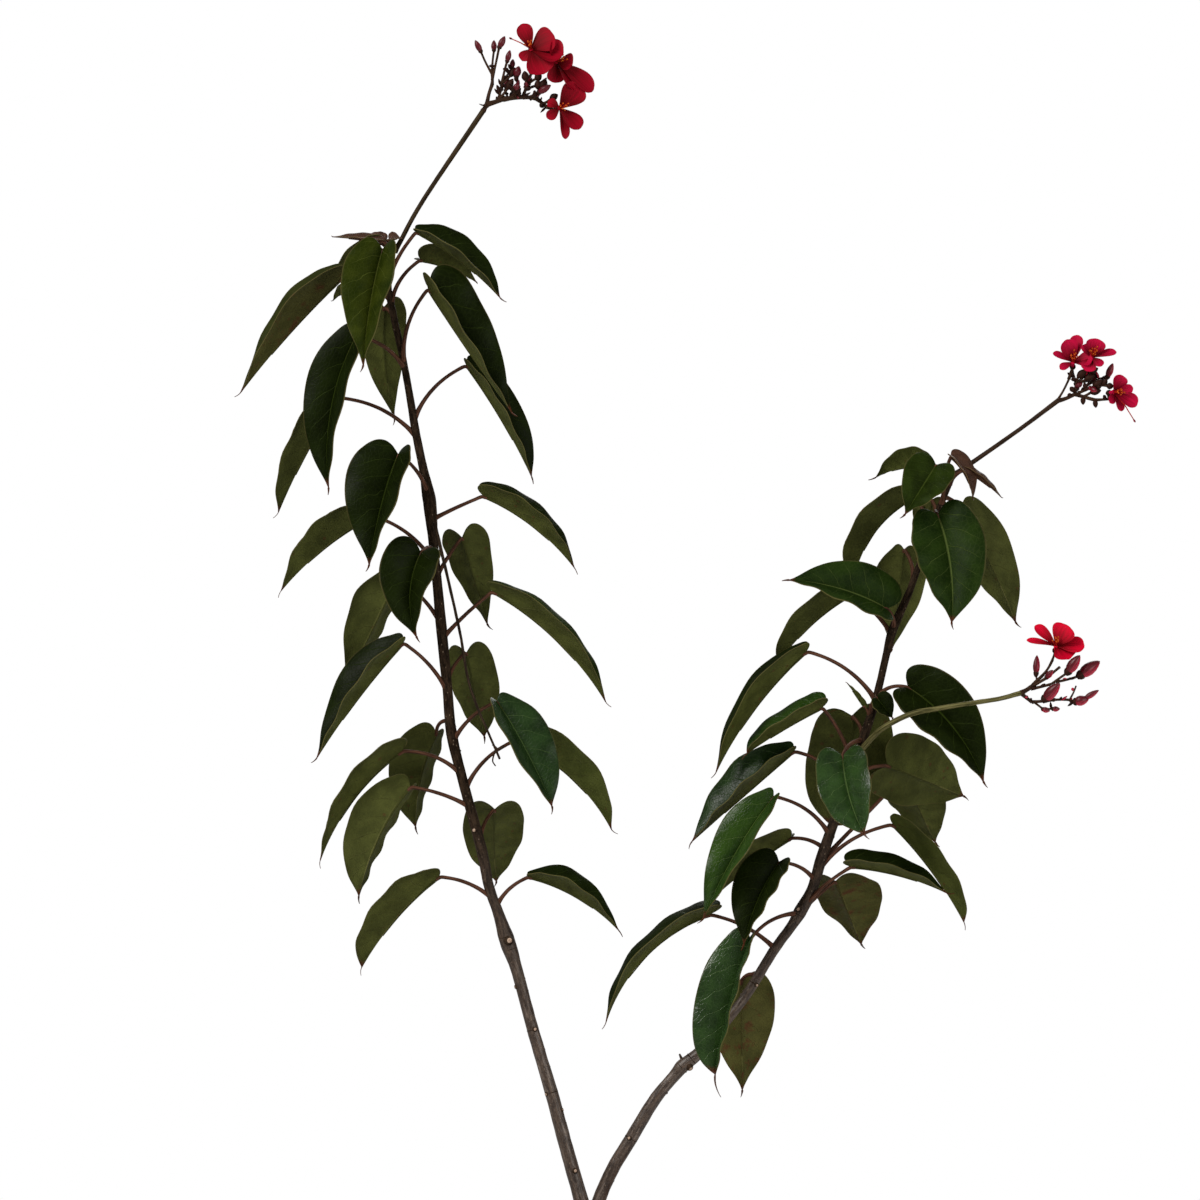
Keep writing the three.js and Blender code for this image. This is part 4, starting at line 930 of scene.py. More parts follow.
@dataclass
class Leaf:
    """One long-stalked leaf, folded along its midrib.

    Attributes:
        base: Width and height of the blade's base from the fork.
        tip: Width and height of its tip.
        away: How far base and tip lie behind the stem.
        roll: 0 shows the upper face to the viewer, 90 stands on edge, 180 shows the underside.
        fold: The angle by which each half is folded up, in degrees.
        bow: How far the midrib bows outward.
        lift: How high the leaf stalk arches, as a share of its length.
        belly: How far the widest part is moved towards the tip.
        heart: How heart-shaped the base is.
        tone: Its colours.
        tail: The length of the dry thread at its tip; below 0 it curls the other way.
    """

    name: str
    stem: Stem
    root_up: float
    base: tuple[float, float]
    tip: tuple[float, float]
    away: tuple[float, float]
    width: float
    roll: float
    fold: float
    bow: float
    lift: float
    belly: float
    heart: float
    tone: LeafTone
    tail: float = 5.5

    TOP, UNDER, STALK = range(3)
    OUTLINE = (
        (0.0, -0.03, 0.1), (0.004, -0.065, 0.24), (0.012, -0.085, 0.44), (0.03, -0.06, 0.66),
        (0.07, 0.015, 0.85), (0.15, 0.13, 0.97), (0.26, 0.27, 1.0), (0.4, 0.43, 0.92), (0.56, 0.6, 0.73),
        (0.72, 0.755, 0.46), (0.86, 0.88, 0.2), (0.945, 0.95, 0.075), (1.0, 1.0, 0.015),
    )
    BENDS = ((0.33, 1.45), (0.72, 1.2))
    BASE_REACH = 0.35
    STATIONS = 48
    COLUMNS = (0.0, 0.035, 0.09, 0.2, 0.34, 0.5, 0.66, 0.82, 0.94, 1.0)
    THICKNESS = 0.6
    # How strongly the blade bulges, waves and is quilted between its veins, and how wide the fold is rounded
    CROWN = 0.085
    WAVE = 0.02
    QUILT = 0.3
    QUILT_STAGGER = 0.024
    FOLD_EDGE = 0.09
    # The dry thread: its rows, half width and taper, how far it curls, how thin it is beside the blade, and
    # how far its places run on past the blade's 1
    TAIL_ROWS = 7
    TAIL_HALF = 0.75
    TAIL_CURL = (0.15, 0.5)
    TAIL_WIDEST = 1.2
    TAIL_THIN = 0.8
    TAIL_PLACE = 0.05
    NEAR_TIP = 0.96
    # The leaf stalk's arch, where it ends, where it is seated under the midrib, and its radii
    STALK_SIDES = 12
    STALK_KNOTS = 9
    STALK_END = 0.96
    STALK_SEATS = (0.015, 0.05)
    STALK_SIZES = (2.3, 1.75, 1.5, 1.42, 1.35, 1.3, 1.25, 1.25, 1.3, 1.2, 0.7)
    STALK_ROUGH = 0.05
    # The rib under the midrib: shares along it, with its radius at each, and how deep it lies
    RIB = ((0.01, 0.9), (0.06, 0.95), (0.16, 0.8), (0.3, 0.65), (0.46, 0.5), (0.66, 0.3))
    RIB_DEPTH = 0.1

    def __post_init__(self) -> None:
        """Works out the midrib's curve and which way the leaf hangs."""
        lean = self.stem.lean * self.root_up
        self.start = from_fork(*self.base, lean + self.away[0])
        end = from_fork(*self.tip, lean + self.away[1])
        self.chord = end - self.start
        self.hand = 1 if self.chord.x <= 0 else -1
        outward = (self.chord.cross(VIEWER) * self.hand).normalized()
        bends = [self.start + self.chord * share + outward * self.bow * amount
                 for share, amount in self.BENDS]
        self.curve = [self.start, *bends, end]
        self.draw = random.Random(self.name)
        self.phase = [self.draw.uniform(0, TURN) for _ in range(2)]
        self.waves = [self.draw.uniform(2.2, 3.8) for _ in range(2)]
        self.seed = self.draw.random()

    def point(self, along: float) -> Vector:
        """A point on the midrib, or straight back from its base where along is below 0."""
        a, b, c, d = self.curve
        if along < 0:
            return self.start + (b - a).normalized() * along * self.chord.length
        t = min(along, 1.0)
        s = 1.0 - t
        return a * s**3 + b * 3 * s * s * t + c * 3 * s * t * t + d * t**3

    def axes(self, along: float) -> tuple[Vector, Vector]:
        """The blade's upward normal and its sideways direction at a share of its length."""
        a, b, c, d = self.curve
        t = min(max(along, 0.0), 1.0)
        s = 1.0 - t
        tangent = ((b - a) * s * s + (c - b) * 2 * s * t + (d - c) * t * t).normalized()
        facing = (VIEWER - tangent * VIEWER.dot(tangent)).normalized()
        outer = tangent.cross(facing) * self.hand
        turn = math.radians(self.roll)
        normal = facing * math.cos(turn) + outer * math.sin(turn)
        lateral = facing * math.sin(turn) - outer * math.cos(turn)
        return normal, lateral

    def outline(self) -> list[Vector]:
        """Half of the blade's outline as points of foot, along and across, all as shares."""
        points = []
        for foot, along, across in self.OUTLINE:
            at = along * self.heart if along < 0 else along + self.belly * along * (1 - along)
            near_base = min(max(1 - at / self.BASE_REACH, 0.0), 1.0) ** 2
            wide = across * (1 - (1 - self.heart) * near_base)
            points.append(Vector((foot + self.belly * foot * (1 - foot), at, wide)))
        return points

    def blade(self, surface: Surface) -> None:
        """Adds the blade: both faces, the margin between them, and waves that grow towards the margin."""
        outline = self.outline()
        columns = [-share for share in self.COLUMNS[:0:-1]] + list(self.COLUMNS)
        tilt = math.radians(self.fold)
        rows = []
        for i in range(self.STATIONS + 1):
            foot, along, across = spline_point(outline, i / self.STATIONS)
            row = []
            for column in columns:
                share = abs(column)
                side = (1 if column > 0 else -1) * self.hand
                at = foot + (along - foot) * share
                out = self.width / 2 * across * share
                normal, lateral = self.axes(at)
                half = 0 if column < 0 else 1
                wave = math.sin(TURN * self.waves[half] * at + self.phase[half])
                fade = share * share * smooth_step(0.0, 0.1, at) * smooth_step(1.0, 0.8, at)
                lift = self.width * (self.CROWN * across * 2 * share * (1 - share) + self.WAVE * wave * fade)
                sweep = foot - LeafFinish.SWEEP * share + self.QUILT_STAGGER * (1 if column > 0 else -1)
                ridges = math.cos(TURN * LeafFinish.VEINS * sweep)
                quilt = self.QUILT * ridges * share * (1 - share) * across
                slope = math.sin(tilt) * min(1.0, share / self.FOLD_EDGE)
                skin = (normal * math.cos(tilt) - lateral * side * slope).normalized()
                spot = self.point(at) + lateral * side * out * math.cos(tilt) + normal * out * math.sin(tilt)
                spot = spot + skin * (lift - quilt)
                row.append((spot, spot - skin * self.THICKNESS, (column, foot, self.seed)))
            rows.append(row)
        surface.add_sheet(rows + self.drip_tip(columns), self.TOP, self.UNDER)

    def drip_tip(self, columns: list[float]) -> list[list[Pair]]:
        """The rows in which the blade runs out into a thin, slightly curled, dry thread.

        Args:
            columns: The blade's columns, from margin to margin.

        Returns:
            The rows of points.
        """
        end = self.point(1.0)
        ahead = (end - self.point(self.NEAR_TIP)).normalized()
        aside = ahead.cross(VIEWER).normalized()
        curl = self.draw.choice((-1, 1)) * math.copysign(self.draw.uniform(*self.TAIL_CURL), self.tail)
        normal, lateral = self.axes(1.0)
        rows = []
        for i in range(1, self.TAIL_ROWS + 1):
            share = i / self.TAIL_ROWS
            middle = end + (ahead * share + aside * curl * share * share) * abs(self.tail)
            half = self.TAIL_HALF * (self.TAIL_WIDEST - share)
            row = []
            for column in columns:
                spot = middle + lateral * column * self.hand * half
                under = spot - normal * self.THICKNESS * self.TAIL_THIN
                row.append((spot, under, (column, 1.0 + self.TAIL_PLACE * share, self.seed)))
            rows.append(row)
        return rows

    def stalk(self, surface: Surface) -> None:
        """Adds the leaf stalk, swollen at its root, and the rib that runs on under the midrib."""
        root = self.stem.at(self.root_up)[0]
        reach = self.start - root
        rise = Vector((-reach.z * (1 if reach.x >= 0 else -1), 0, abs(reach.x))).normalized()
        middle = root + reach * 0.5 + rise * self.lift * reach.length
        knots = []
        for i in range(self.STALK_KNOTS):
            t = i / (self.STALK_KNOTS - 1) * self.STALK_END
            knots.append(root * (1 - t) ** 2 + middle * 2 * t * (1 - t) + self.start * t * t)
        knots += [self.under_rib(share) for share in self.STALK_SEATS]
        rib = [self.under_rib(share) for share, _ in self.RIB]
        for spots, sizes, count, slot in ((knots, self.STALK_SIZES, 40, self.STALK),
                                          (rib, [size for _, size in self.RIB], 24, self.UNDER)):
            surface.add_taper(spots, sizes, count, self.STALK_SIDES, slot, self.STALK_ROUGH, self.seed * 50)

    def under_rib(self, share: float) -> Vector:
        """A point just under the midrib."""
        return self.point(share) - self.axes(share)[0] * (self.THICKNESS + self.RIB_DEPTH)

    def build(self, node: str) -> bpy.types.Object:
        """Makes the leaf, which stands for the node."""
        surface = Surface()
        self.blade(surface)
        self.stalk(surface)
        piece = surface.build(f"{self.name}_grown", self.tone.materials(), sharp=70.0)
        return dress(piece, "leaf", node)


# Each row gives a leaf's fields from root_up on. Its name is its stem's side and its number in the list.
T = LeafTone
# The tone given to each leaf partly paints in the shade and light that fall on it.
LEFT_LEAVES = [
    (640, (-174, 646), (-245, 566), (-4, -4), 49, 80, 50, 2, 0.2, -0.15, 0.7, T.BROWNED),
    (656, (-145, 665), (-158, 584), (-28, -54), 49.5, 25, 36, 2, 0.2, -0.2, 0.85, T.LIGHT),
    (609.5, (-145, 626), (-138, 549), (18, 32), 31.5, 184, 12, -3, 0.2, -0.2, 1.2, T.DEEP),
    (583, (-163.5, 605), (-183, 499), (-16, -26), 44, 38, 32, 8, 0.2, 0.15, 0.7, T.DARK),
    (534.5, (-177, 562), (-219, 482), (10, 8), 43, 89, 46, 2, 0.2, 0.5, 1.2, T.DARK),
    (494, (-134, 522), (-154, 445), (-26, -44), 61, 37, 34, 2, 0.15, -0.1, 0.9, T.DARK),
    (444, (-152.5, 479), (-216.5, 427), (2, 0), 50.5, 90, 46, 4, 0.2, 0.2, 0.5, T.DEEP),
    (451, (-118, 453), (-121, 395), (-34, -56), 50, 18, 35, 6, 0.28, -0.2, 1, T.DARK),
    (403, (-135.5, 436), (-172, 361), (16, 18), 50, 128, 23, 0, 0.12, 0, 0.65, T.DARK),
    (355, (-131, 390), (-191, 310), (-12, -14), 47.5, 67, 44, 2, 0.14, 0, 0.5, T.DARK),
    (335.5, (-108, 326.5), (-123, 260.5), (22, 28), 49, 140, 33, 4, 0.27, 0.3, 0.7, T.DARK),
    (298, (-132, 314), (-189, 238), (-8, -8), 44, 92, 34, 7, 0.21, 0, 0.95, T.DEEP),
    (275, (-126, 289), (-162, 213), (-6, -6), 52, 132, 32, 5, 0.1, 0.4, 0.65, T.DEEP),
    (210, (-106, 226), (-160, 163), (-2, -2), 49.5, 92, 46, 4, 0.18, 0.8, 0.5, T.DEEP),
    (645.5, (-121.5, 678), (-63, 632), (-12, -14), 36, 65, 40, 3, 0.1, 0.4, 0.45, T.DARK),
    (586, (-113, 638), (-55, 552), (-16, -20), 52, 56, 47, -1, 0.2, 0, 1.2, T.DARK),
    (546, (-86.5, 585), (-41, 507), (14, 12), 35, 62, 46, 2, 0.2, 0.5, 0.65, T.DARK),
    (476, (-74.5, 493), (-11, 443), (0, -2), 38, 82, 44, 5, 0.03, 0.3, 0.9, T.DARK),
    (436, (-90, 464), (-72.5, 403.5), (16, 36), 36, 170, 32, 0, 0.05, -0.2, 1.2, T.DEEP),
    (393, (-68, 426), (11, 349), (-4, -6), 39, 85, 42, 7, 0.05, 0.4, 0.7, T.DEEP),
    (358, (-87, 383), (-74.5, 324), (16, 36), 39, 170, 31, 0, 0.2, 0.4, 1, T.DEEP),
    (321, (-65, 349), (-26.5, 276.5), (-16, -32), 44, 40, 30, 2, 0.17, 0.4, 0.55, T.TEAL),
    (287, (-53, 321), (15, 259.5), (12, 10), 52, 100, 40, 8, 0.2, 0.4, 1, T.LIGHT),
    (246, (-67, 273), (-66.5, 221), (22, 78), 44, 186, 12, -1, 0.2, 0.25, 1, T.DEEP),
    (205, (-42.5, 226), (20, 189), (0, -2), 38, 75, 42, 5, 0.2, 0.05, 0.35, T.DARK),
]
RIGHT_LEAVES = [
    (495, (236, 513), (200, 506), (8, 14), 34, 115, 30, 3, 0.18, 0, 0.85, T.LIGHT),
    (487, (241, 514), (219, 480), (-20, -44), 37, 15, 22, 0, 0.2, -0.05, 1, T.DEEP),
    (462, (227, 492), (184, 431), (14, 20), 44, 95, 42, 9, 0.2, 0.7, 0.8, T.DEEP),
    (480, (242, 479.5), (251, 405), (-26, -50), 55.5, 10, 23, 4, 0.2, 0.25, 0.9, T.GREEN),
    (492, (260, 482), (298, 405), (10, 20), 42, 165, 34, 2, 0.2, 0.25, 0.9, T.DEEP),
    (400, (206.5, 414), (139, 434), (-18, -32), 47.5, 40, 30, 4, 0.2, 0, 1, T.GREEN),
    (430, (220, 455.5), (212, 386), (16, 34), 39, 180, 20, 0, 0.2, -0.1, 0.5, T.DEEP),
    (396, (183, 424), (131, 375), (14, 14), 38, 95, 45, 4, 0.11, 0.65, 0.8, T.DARK),
    (350, (151, 384), (88, 300), (-2, -4), 37.5, 82, 48, 5, 0.2, 0.15, 0.6, T.DARK),
    (302.5, (162, 345), (109.5, 313), (-6, -6), 32.5, 78, 37, 1, 0.13, 0.85, 1.2, T.BRIGHT),
    (286.5, (142, 314), (71.5, 251.5), (4, 2), 50.5, 69, 39, 0, 0.27, 0.25, 0.5, T.TEAL),
    (256, (128, 283), (79, 199), (-22, -32), 41, 42, 33, 3, 0.2, 0.05, 0.5, T.BRIGHT),
    (246, (140, 253), (91, 216), (10, 14), 40, 107, 26, 1, 0.2, 0.35, 0.8, T.DEEP),
    (224, (132, 237), (107, 181), (-20, -36), 45, 40, 32, 3, 0.2, 0, 0.9, T.DARK),
    (176, (83, 200), (11, 125), (-4, -6), 39, 84, 26, 12, 0.16, 0.3, 1.2, T.DARK),
    (201, (112, 184), (87, 90), (-26, -36), 50, 45, 43, 2, 0.2, 0.85, 0.7, T.GLOSSY, -15),
    (157, (106, 153), (107, 76), (14, 32), 47.5, 178, 9, 0, 0.3, -0.1, 1, T.BROWNED),
    (294, (208, 304), (262, 282.5), (5, 35), 57.5, 165, 23, 0, 0.2, 0.3, 1, T.DEEP),
    (237, (220, 296), (244, 249), (38, 74), 45, 153, 16, 0, 0, 0.1, 1.1, T.DEEP),
    (352, (222, 359), (274, 294), (-10, -24), 51, 17, 30, 7, 0.3, 0, 0.9, T.DARK),
    (318, (183.5, 339), (169, 262), (16, 36), 61.5, 170, 4, -5, 0.26, 0.85, 1, T.DEEP),
    (322, (176, 311), (190, 258), (-28, -60), 43.5, -8, 30, -3, 0.2, 0.5, 1, T.GLOSSY),
    (230, (212, 263), (261.5, 195), (-2, -4), 37, 96, 38, 3, 0.2, 0.8, 0.8, T.LIGHT),
    (202.5, (183, 234), (248.5, 216), (-14, -18), 34, 75, 35, 3, 0.1, 0.3, 1.1, T.DARK),
    (198.5, (172, 223), (191, 178), (14, 50), 56.5, 150, 22, 0, 0.05, 0, 0.7, T.BROWNED),
]
YOUNG_TAIL = 1.5
YOUNG_LEAVES = [
    ("left_short", LEFT_STEM, 629, (-119, 659), (-80, 644), (10, 18), 32, 115, 30, 2, 0.2, 0, 1, T.DEEP),
    ("left_long", LEFT_STEM, 660, (-147, 671), (-181, 648), (4, 14), 24, 92, 40, 2, 0.2, 0, 1, T.DARK),
    ("left_bract_1", LEFT_STEM, 664, (-146, 672), (-180, 675), (-4, -4), 13, 70, 30, 0, 0.2, 0, 1, T.BRACT),
    ("left_bract_2", LEFT_STEM, 665, (-144, 673), (-158, 676), (3, 5), 12, 60, 30, 0, 0.2, 0, 1, T.BRACT),
    ("left_bract_3", LEFT_STEM, 664, (-141, 673), (-133, 674), (-5, -7), 12, 60, 30, 0, 0.2, 0, 1, T.BRACT),
    ("left_low", LEFT_STEM, 630, (-168, 642), (-181, 631), (14, 18), 16, 90, 40, 0, 0.2, 0, 1, T.DEEP),
    ("right_fold_1", RIGHT_STEM, 500, (252, 520), (267, 491), (-12, -16), 20, 60, 30, 3, 0.2, 0, 1, T.BRACT),
    ("right_fold_2", RIGHT_STEM, 501, (262, 511), (287, 492), (-8, -9), 14, 80, 30, 1, 0.2, 0, 1, T.BRACT),
    ("right_back", RIGHT_STEM, 474, (239, 490), (235, 457), (12, 16), 25, 180, 18, 0, 0.2, 0, 1, T.DEEP),
    ("right_axil_1", RIGHT_STEM, 340, (200, 352), (211, 338), (-15, -14), 18, 20, 30, 0, 0.2, 0, 1, T.DARK),
    ("right_axil_2", RIGHT_STEM, 336, (192, 346), (180, 362), (-4, -6), 10, 90, 30, 0, 0.2, 0, 1, T.LIGHT),
]


# Flowers

@dataclass
class Flower:
    """One flower: calyx, tube, five petals and a tuft of stamens.

    Attributes:
        centre: The middle of the throat.
        axis: The way that the flower faces.
        petals: Each petal's tip from the centre, across, up and away, and its width.
        seed: What its small irregularities are drawn from.
    """

    centre: Vector
    axis: Vector
    petals: list[Knot]
    seed: int

    OUTLINE = ((0.0, 0.16), (0.1, 0.3), (0.26, 0.55), (0.46, 0.84), (0.66, 1.0), (0.82, 0.93), (0.93, 0.66),
               (1.0, 0.16))
    ROWS = 18
    COLUMNS = 11
    # A petal: where it starts, how it bows, rolls and twists, and its crease and ripples with their rates
    ROOT = 0.8
    BOW = 0.24
    ROLL = (0.1, 0.3)
    TWIST = (-0.18, 0.18)
    CREASE, CREASE_RATE = 0.35, 30.0
    RIPPLE, RIPPLES_ACROSS, RIPPLES_ALONG = 0.3, 3.4, 6.0
    THICKNESS = 0.45
    # The tube, and the calyx a little behind it, whose stalk ends inside it
    TUBE_LENGTH = 4.0
    TUBE_SIZES = (1.4, 1.4, 1.5, 1.6, 1.9)
    THROAT = 0.4
    CALYX_LENGTH = 3.6
    CALYX_RADIUS = 2.2
    CALYX = ((0.0, 0.45), (0.2, 0.7), (0.5, 0.95), (0.85, 1.0), (1.0, 0.85))
    GAP = 0.3
    NECK = 0.8
    # Stamens: how uneven their spacing is, how far they spread, reach, stand off the middle and bow
    STAMENS = 11
    STAMEN_TURN = 0.2
    STAMEN_SPREAD = (0.5, 3.4)
    STAMEN_REACH = (5.0, 9.0)
    STAMEN_FOOT = 0.5
    STAMEN_BOW = 0.3
    FILAMENT_SIZES = (0.34, 0.3, 0.25)
    ANTHER = ((0.1, 0.6), (0.5, 1.0), (0.85, 0.6))
    ANTHER_RADIUS = 0.6
    # A long style, and how far the club at its end starts behind it and runs past it
    STYLE_SIZES = (0.5, 0.42, 0.36)
    STYLE_BOW = 1.2
    CLUB_BACK, CLUB_REACH = 0.8, 2.2
    CLUB = ((0.1, 0.5), (0.55, 1.0), (0.9, 0.6))
    CLUB_RADIUS = 0.75
    FLESH, THREAD, POLLEN = range(3)

    def __post_init__(self) -> None:
        """Works out the flower's own directions."""
        self.axis = self.axis.normalized()
        self.across = (UP - self.axis * self.axis.z).normalized()
        self.over = self.axis.cross(self.across)
        self.draw = random.Random(self.seed)

    def spoke(self, angle: float) -> Vector:
        """The direction out from the axis at an angle."""
        return self.across * math.cos(angle) + self.over * math.sin(angle)

    def petal(self, surface: Surface, across: float, up: float, away: float, width: float) -> None:
        """Adds one petal, from near the centre to its tip, with a rolled, slightly waved margin.

        Args:
            surface: The surface that it is added to.
            across: How far its tip lies to the right of the centre.
            up: How far its tip lies above the centre.
            away: How far its tip lies behind the centre.
            width: Its full width.
        """
        reach = Vector((across, away, up))
        length = reach.length
        radial = reach.normalized()
        sideways = self.axis.cross(radial).normalized()
        face = radial.cross(sideways)
        roll = self.draw.uniform(*self.ROLL)
        twist = self.draw.uniform(*self.TWIST)
        seed = self.draw.random() * 20
        outline = [Vector((share, wide, 0)) for share, wide in self.OUTLINE]
        rows = []
        for i in range(self.ROWS + 1):
            share, wide, _ = spline_point(outline, i / self.ROWS)
            out = self.ROOT + (length - self.ROOT) * share
            rise = length * self.BOW * share * (1 - share)
            half = wide * width / 2
            row = []
            for k in range(self.COLUMNS):
                column = 2 * k / (self.COLUMNS - 1) - 1
                crown = roll * half * column * column + twist * half * column
                dent = math.exp(-self.CREASE_RATE * column * column)
                fold = -self.CREASE * dent * math.sin(math.pi * share)
                turn = self.RIPPLES_ACROSS * column + self.RIPPLES_ALONG * share + seed
                ripple = self.RIPPLE * math.sin(turn) * share * abs(column)
                spot = (self.centre + radial * out + sideways * column * half
                        + face * (rise + crown + fold + ripple))
                row.append((spot, spot - face * self.THICKNESS, (column, share, seed)))
            rows.append(row)
        surface.add_sheet(rows, self.FLESH, self.FLESH)

    def add_corolla(self, surface: Surface) -> None:
        """Adds tube, petals and stamens."""
        back = self.centre - self.axis * self.TUBE_LENGTH
        front = self.centre + self.axis * self.THROAT
        last = len(self.TUBE_SIZES) - 1
        surface.add_tube([back.lerp(front, i / last) for i in range(last + 1)], self.TUBE_SIZES, 14)
        for tip in self.petals:
            self.petal(surface, *tip)
        for number in range(self.STAMENS):
            self.add_stamen(surface, TURN * number / self.STAMENS)

    def add_stamen(self, surface: Surface, angle: float) -> None:
        """Adds one stamen at about an angle round the throat."""
        spoke = self.spoke(angle + self.draw.uniform(-self.STAMEN_TURN, self.STAMEN_TURN))
        spread = self.draw.uniform(*self.STAMEN_SPREAD)
        reach = self.draw.uniform(*self.STAMEN_REACH)
        foot = self.centre + spoke * self.STAMEN_FOOT - self.axis * self.STAMEN_FOOT
        top = self.centre + spoke * spread + self.axis * reach
        bend = foot.lerp(top, 0.5) - spoke * self.STAMEN_BOW
        surface.add_tube([foot, bend, top], self.FILAMENT_SIZES, 6, self.THREAD)
        ahead = (top - bend).normalized()
        back = top - ahead * self.ANTHER_RADIUS
        surface.add_lobe(back, top + ahead, self.ANTHER, self.ANTHER_RADIUS, 7, self.POLLEN)

    def add_style(self, surface: Surface, reach: Vector) -> None:
        """Adds a thin style that ends in a small club, reaching out of the flower."""
        end = self.centre + reach
        middle = self.centre.lerp(end, 0.5) + self.axis * self.STYLE_BOW
        surface.add_tube([self.centre, middle, end], self.STYLE_SIZES, 7, self.THREAD)
        ahead = (end - middle).normalized()
        club = (end - ahead * self.CLUB_BACK, end + ahead * self.CLUB_REACH)
        surface.add_lobe(*club, self.CLUB, self.CLUB_RADIUS, 8)

    def add_calyx(self, surface: Surface) -> None:
        """Adds the dark calyx cup."""
        reach = self.TUBE_LENGTH + self.GAP
        foot = self.centre - self.axis * (reach + self.CALYX_LENGTH)
        rim = self.centre - self.axis * reach
        surface.add_lobe(foot, rim, self.CALYX, self.CALYX_RADIUS, 14, Bloom.CUP)

    def neck(self) -> Vector:
        """Where the flower's stalk meets the calyx."""
        return self.centre - self.axis * (self.TUBE_LENGTH + self.GAP + self.CALYX_LENGTH * self.NECK)


@dataclass
class Bloom:
    """One flower cluster: a long stalk that branches into buds and flowers.

    Places are across and up from the fork and away from the stem.

    Attributes:
        name: What its pieces' names start with.
        stem: The stem that bears it.
        peduncle: The long stalk's points, with a radius at each.
        stalks: Each short branch's start, end and radius.
        buds: Each bud's base, tip and radius.
        flowers: Each group's flowers: throat, facing and petals.
        petal: The petals' finish.
        stalk: The long stalk's finish.
        bud: The colour of the ripe buds.
        bracts: How many small bracts and unopened buds are scattered.
        calyces: Each empty calyx's foot on a branch, base, tip and radius.
        styles: Each long style's group and flower, and how far it reaches.
    """

    name: str
    stem: Stem
    peduncle: list[Knot]
    stalks: list[Limb]
    buds: list[Limb]
    flowers: list[list[tuple[Place, Place, list[Knot]]]]
    petal: PetalFinish
    stalk: StalkFinish
    bud: Colour
    bracts: int
    calyces: list[tuple[Place, Place, Place, float]] = field(default_factory=list)
    styles: list[tuple[tuple[int, int], Place]] = field(default_factory=list)

    STEM, CUP, RED, BRANCH = range(4)
    # A branch: how far it bows, its thickness at the start, what it loses by the end and at the waist
    LIMB_BOW = 0.04
    LIMB_START, LIMB_LOSS, LIMB_WAIST = 1.12, 0.22, 0.18
    LIMB_PARTS = 6
    FLOWER_STALK = 0.95
    CALYX_STALK = 1.1
    # Bracts: the share on the inner branches, how far along a branch, their lengths and radii
    INNER = 0.75
    BRACT_SEATS = (0.25, 1.0)
    BRACT_LENGTHS = (2.8, 7.0)
    BRACT_RADII = (1.0, 2.3)
    # Buds of this radius and more are ripe and red
    RIPE = 2.0
    BRACT = ((0.0, 0.5), (0.3, 0.95), (0.55, 1.0), (0.85, 0.5))
    BUD_CUP = ((0.0, 0.5), (0.4, 0.95), (0.8, 1.1), (1.0, 0.95))
    CUP_SIZE = 0.72
    CUP_REACH = 0.16
    SUNK = 0.1
    BUD = ((0.02, 0.42), (0.12, 0.66), (0.28, 0.92), (0.45, 1.0), (0.65, 0.86), (0.82, 0.58), (0.94, 0.28))

    def place(self, across: float, up: float, away: float) -> Vector:
        """A point of the cluster, whose depth is measured from the stem where the stalk leaves it."""
        return from_fork(across, up, away + self.stem.lean * self.peduncle[0][1])

    def corollas(self) -> list[list[Flower]]:
        """The flowers, group by group."""
        groups = []
        for g, group in enumerate(self.flowers):
            groups.append([
                Flower(self.place(*centre), Vector(facing), petals, 31 * g + n + len(self.name))
                for n, (centre, facing, petals) in enumerate(group)
            ])
        return groups

    def add_limb(self, surface: Surface, start: Vector, end: Vector, radius: float, seed: int) -> None:
        """Adds one short branch, slightly bowed and thicker at both ends."""
        draw = random.Random(seed)
        reach = (end - start).length
        bow = Vector((draw.uniform(-1, 1), draw.uniform(-1, 1), draw.uniform(-1, 1))) * reach * self.LIMB_BOW
        path, radii = [], []
        for i in range(self.LIMB_PARTS + 1):
            share = i / self.LIMB_PARTS
            path.append(start.lerp(end, share) + bow * math.sin(math.pi * share))
            waist = 1.0 - self.LIMB_WAIST * math.sin(math.pi * share)
            radii.append(radius * (self.LIMB_START - self.LIMB_LOSS * share) * waist)
        surface.add_tube(path, radii, 10, self.BRANCH, rough=0.1, seed=float(seed))

    def add_stalks(self, surface: Surface) -> None:
        """Adds the long stalk, its branches, and each flower's own short stalk and calyx."""
        knots = [self.place(*spot[:3]) for spot in self.peduncle]
        surface.add_taper(knots, [spot[3] for spot in self.peduncle], 14 * (len(knots) - 1), 16, self.STEM,
                          rough=0.05, seed=5.0)
        for number, (start, end, radius) in enumerate(self.stalks):
            self.add_limb(surface, self.place(*start), self.place(*end), radius, number)
        ends = [self.place(*end) for _, end, _ in self.stalks]
        for group in self.corollas():
            for flower in group:
                foot = flower.neck()
                nearest = min(ends, key=lambda spot: (spot - foot).length)
                self.add_limb(surface, nearest, foot, self.FLOWER_STALK, flower.seed)
                flower.add_calyx(surface)

    def add_buds(self, surface: Surface) -> None:
        """Adds the buds, each in its cup, and the calyces that have lost their flowers."""
        for base, tip, radius in self.buds:
            start, end = self.place(*base), self.place(*tip)
            below, above = start - (end - start) * self.SUNK, start.lerp(end, self.CUP_REACH)
            surface.add_lobe(start, end, self.BUD, radius, 14, self.RED if radius >= self.RIPE else self.CUP)
            surface.add_lobe(below, above, self.BUD_CUP, radius * self.CUP_SIZE, 12, self.CUP)
        for foot, base, tip, radius in self.calyces:
            start, end = self.place(*base), self.place(*tip)
            self.add_limb(surface, self.place(*foot), start, self.CALYX_STALK, round(tip[0]))
            surface.add_lobe(start - (end - start) * self.SUNK, end, self.BUD, radius, 12, self.CUP)

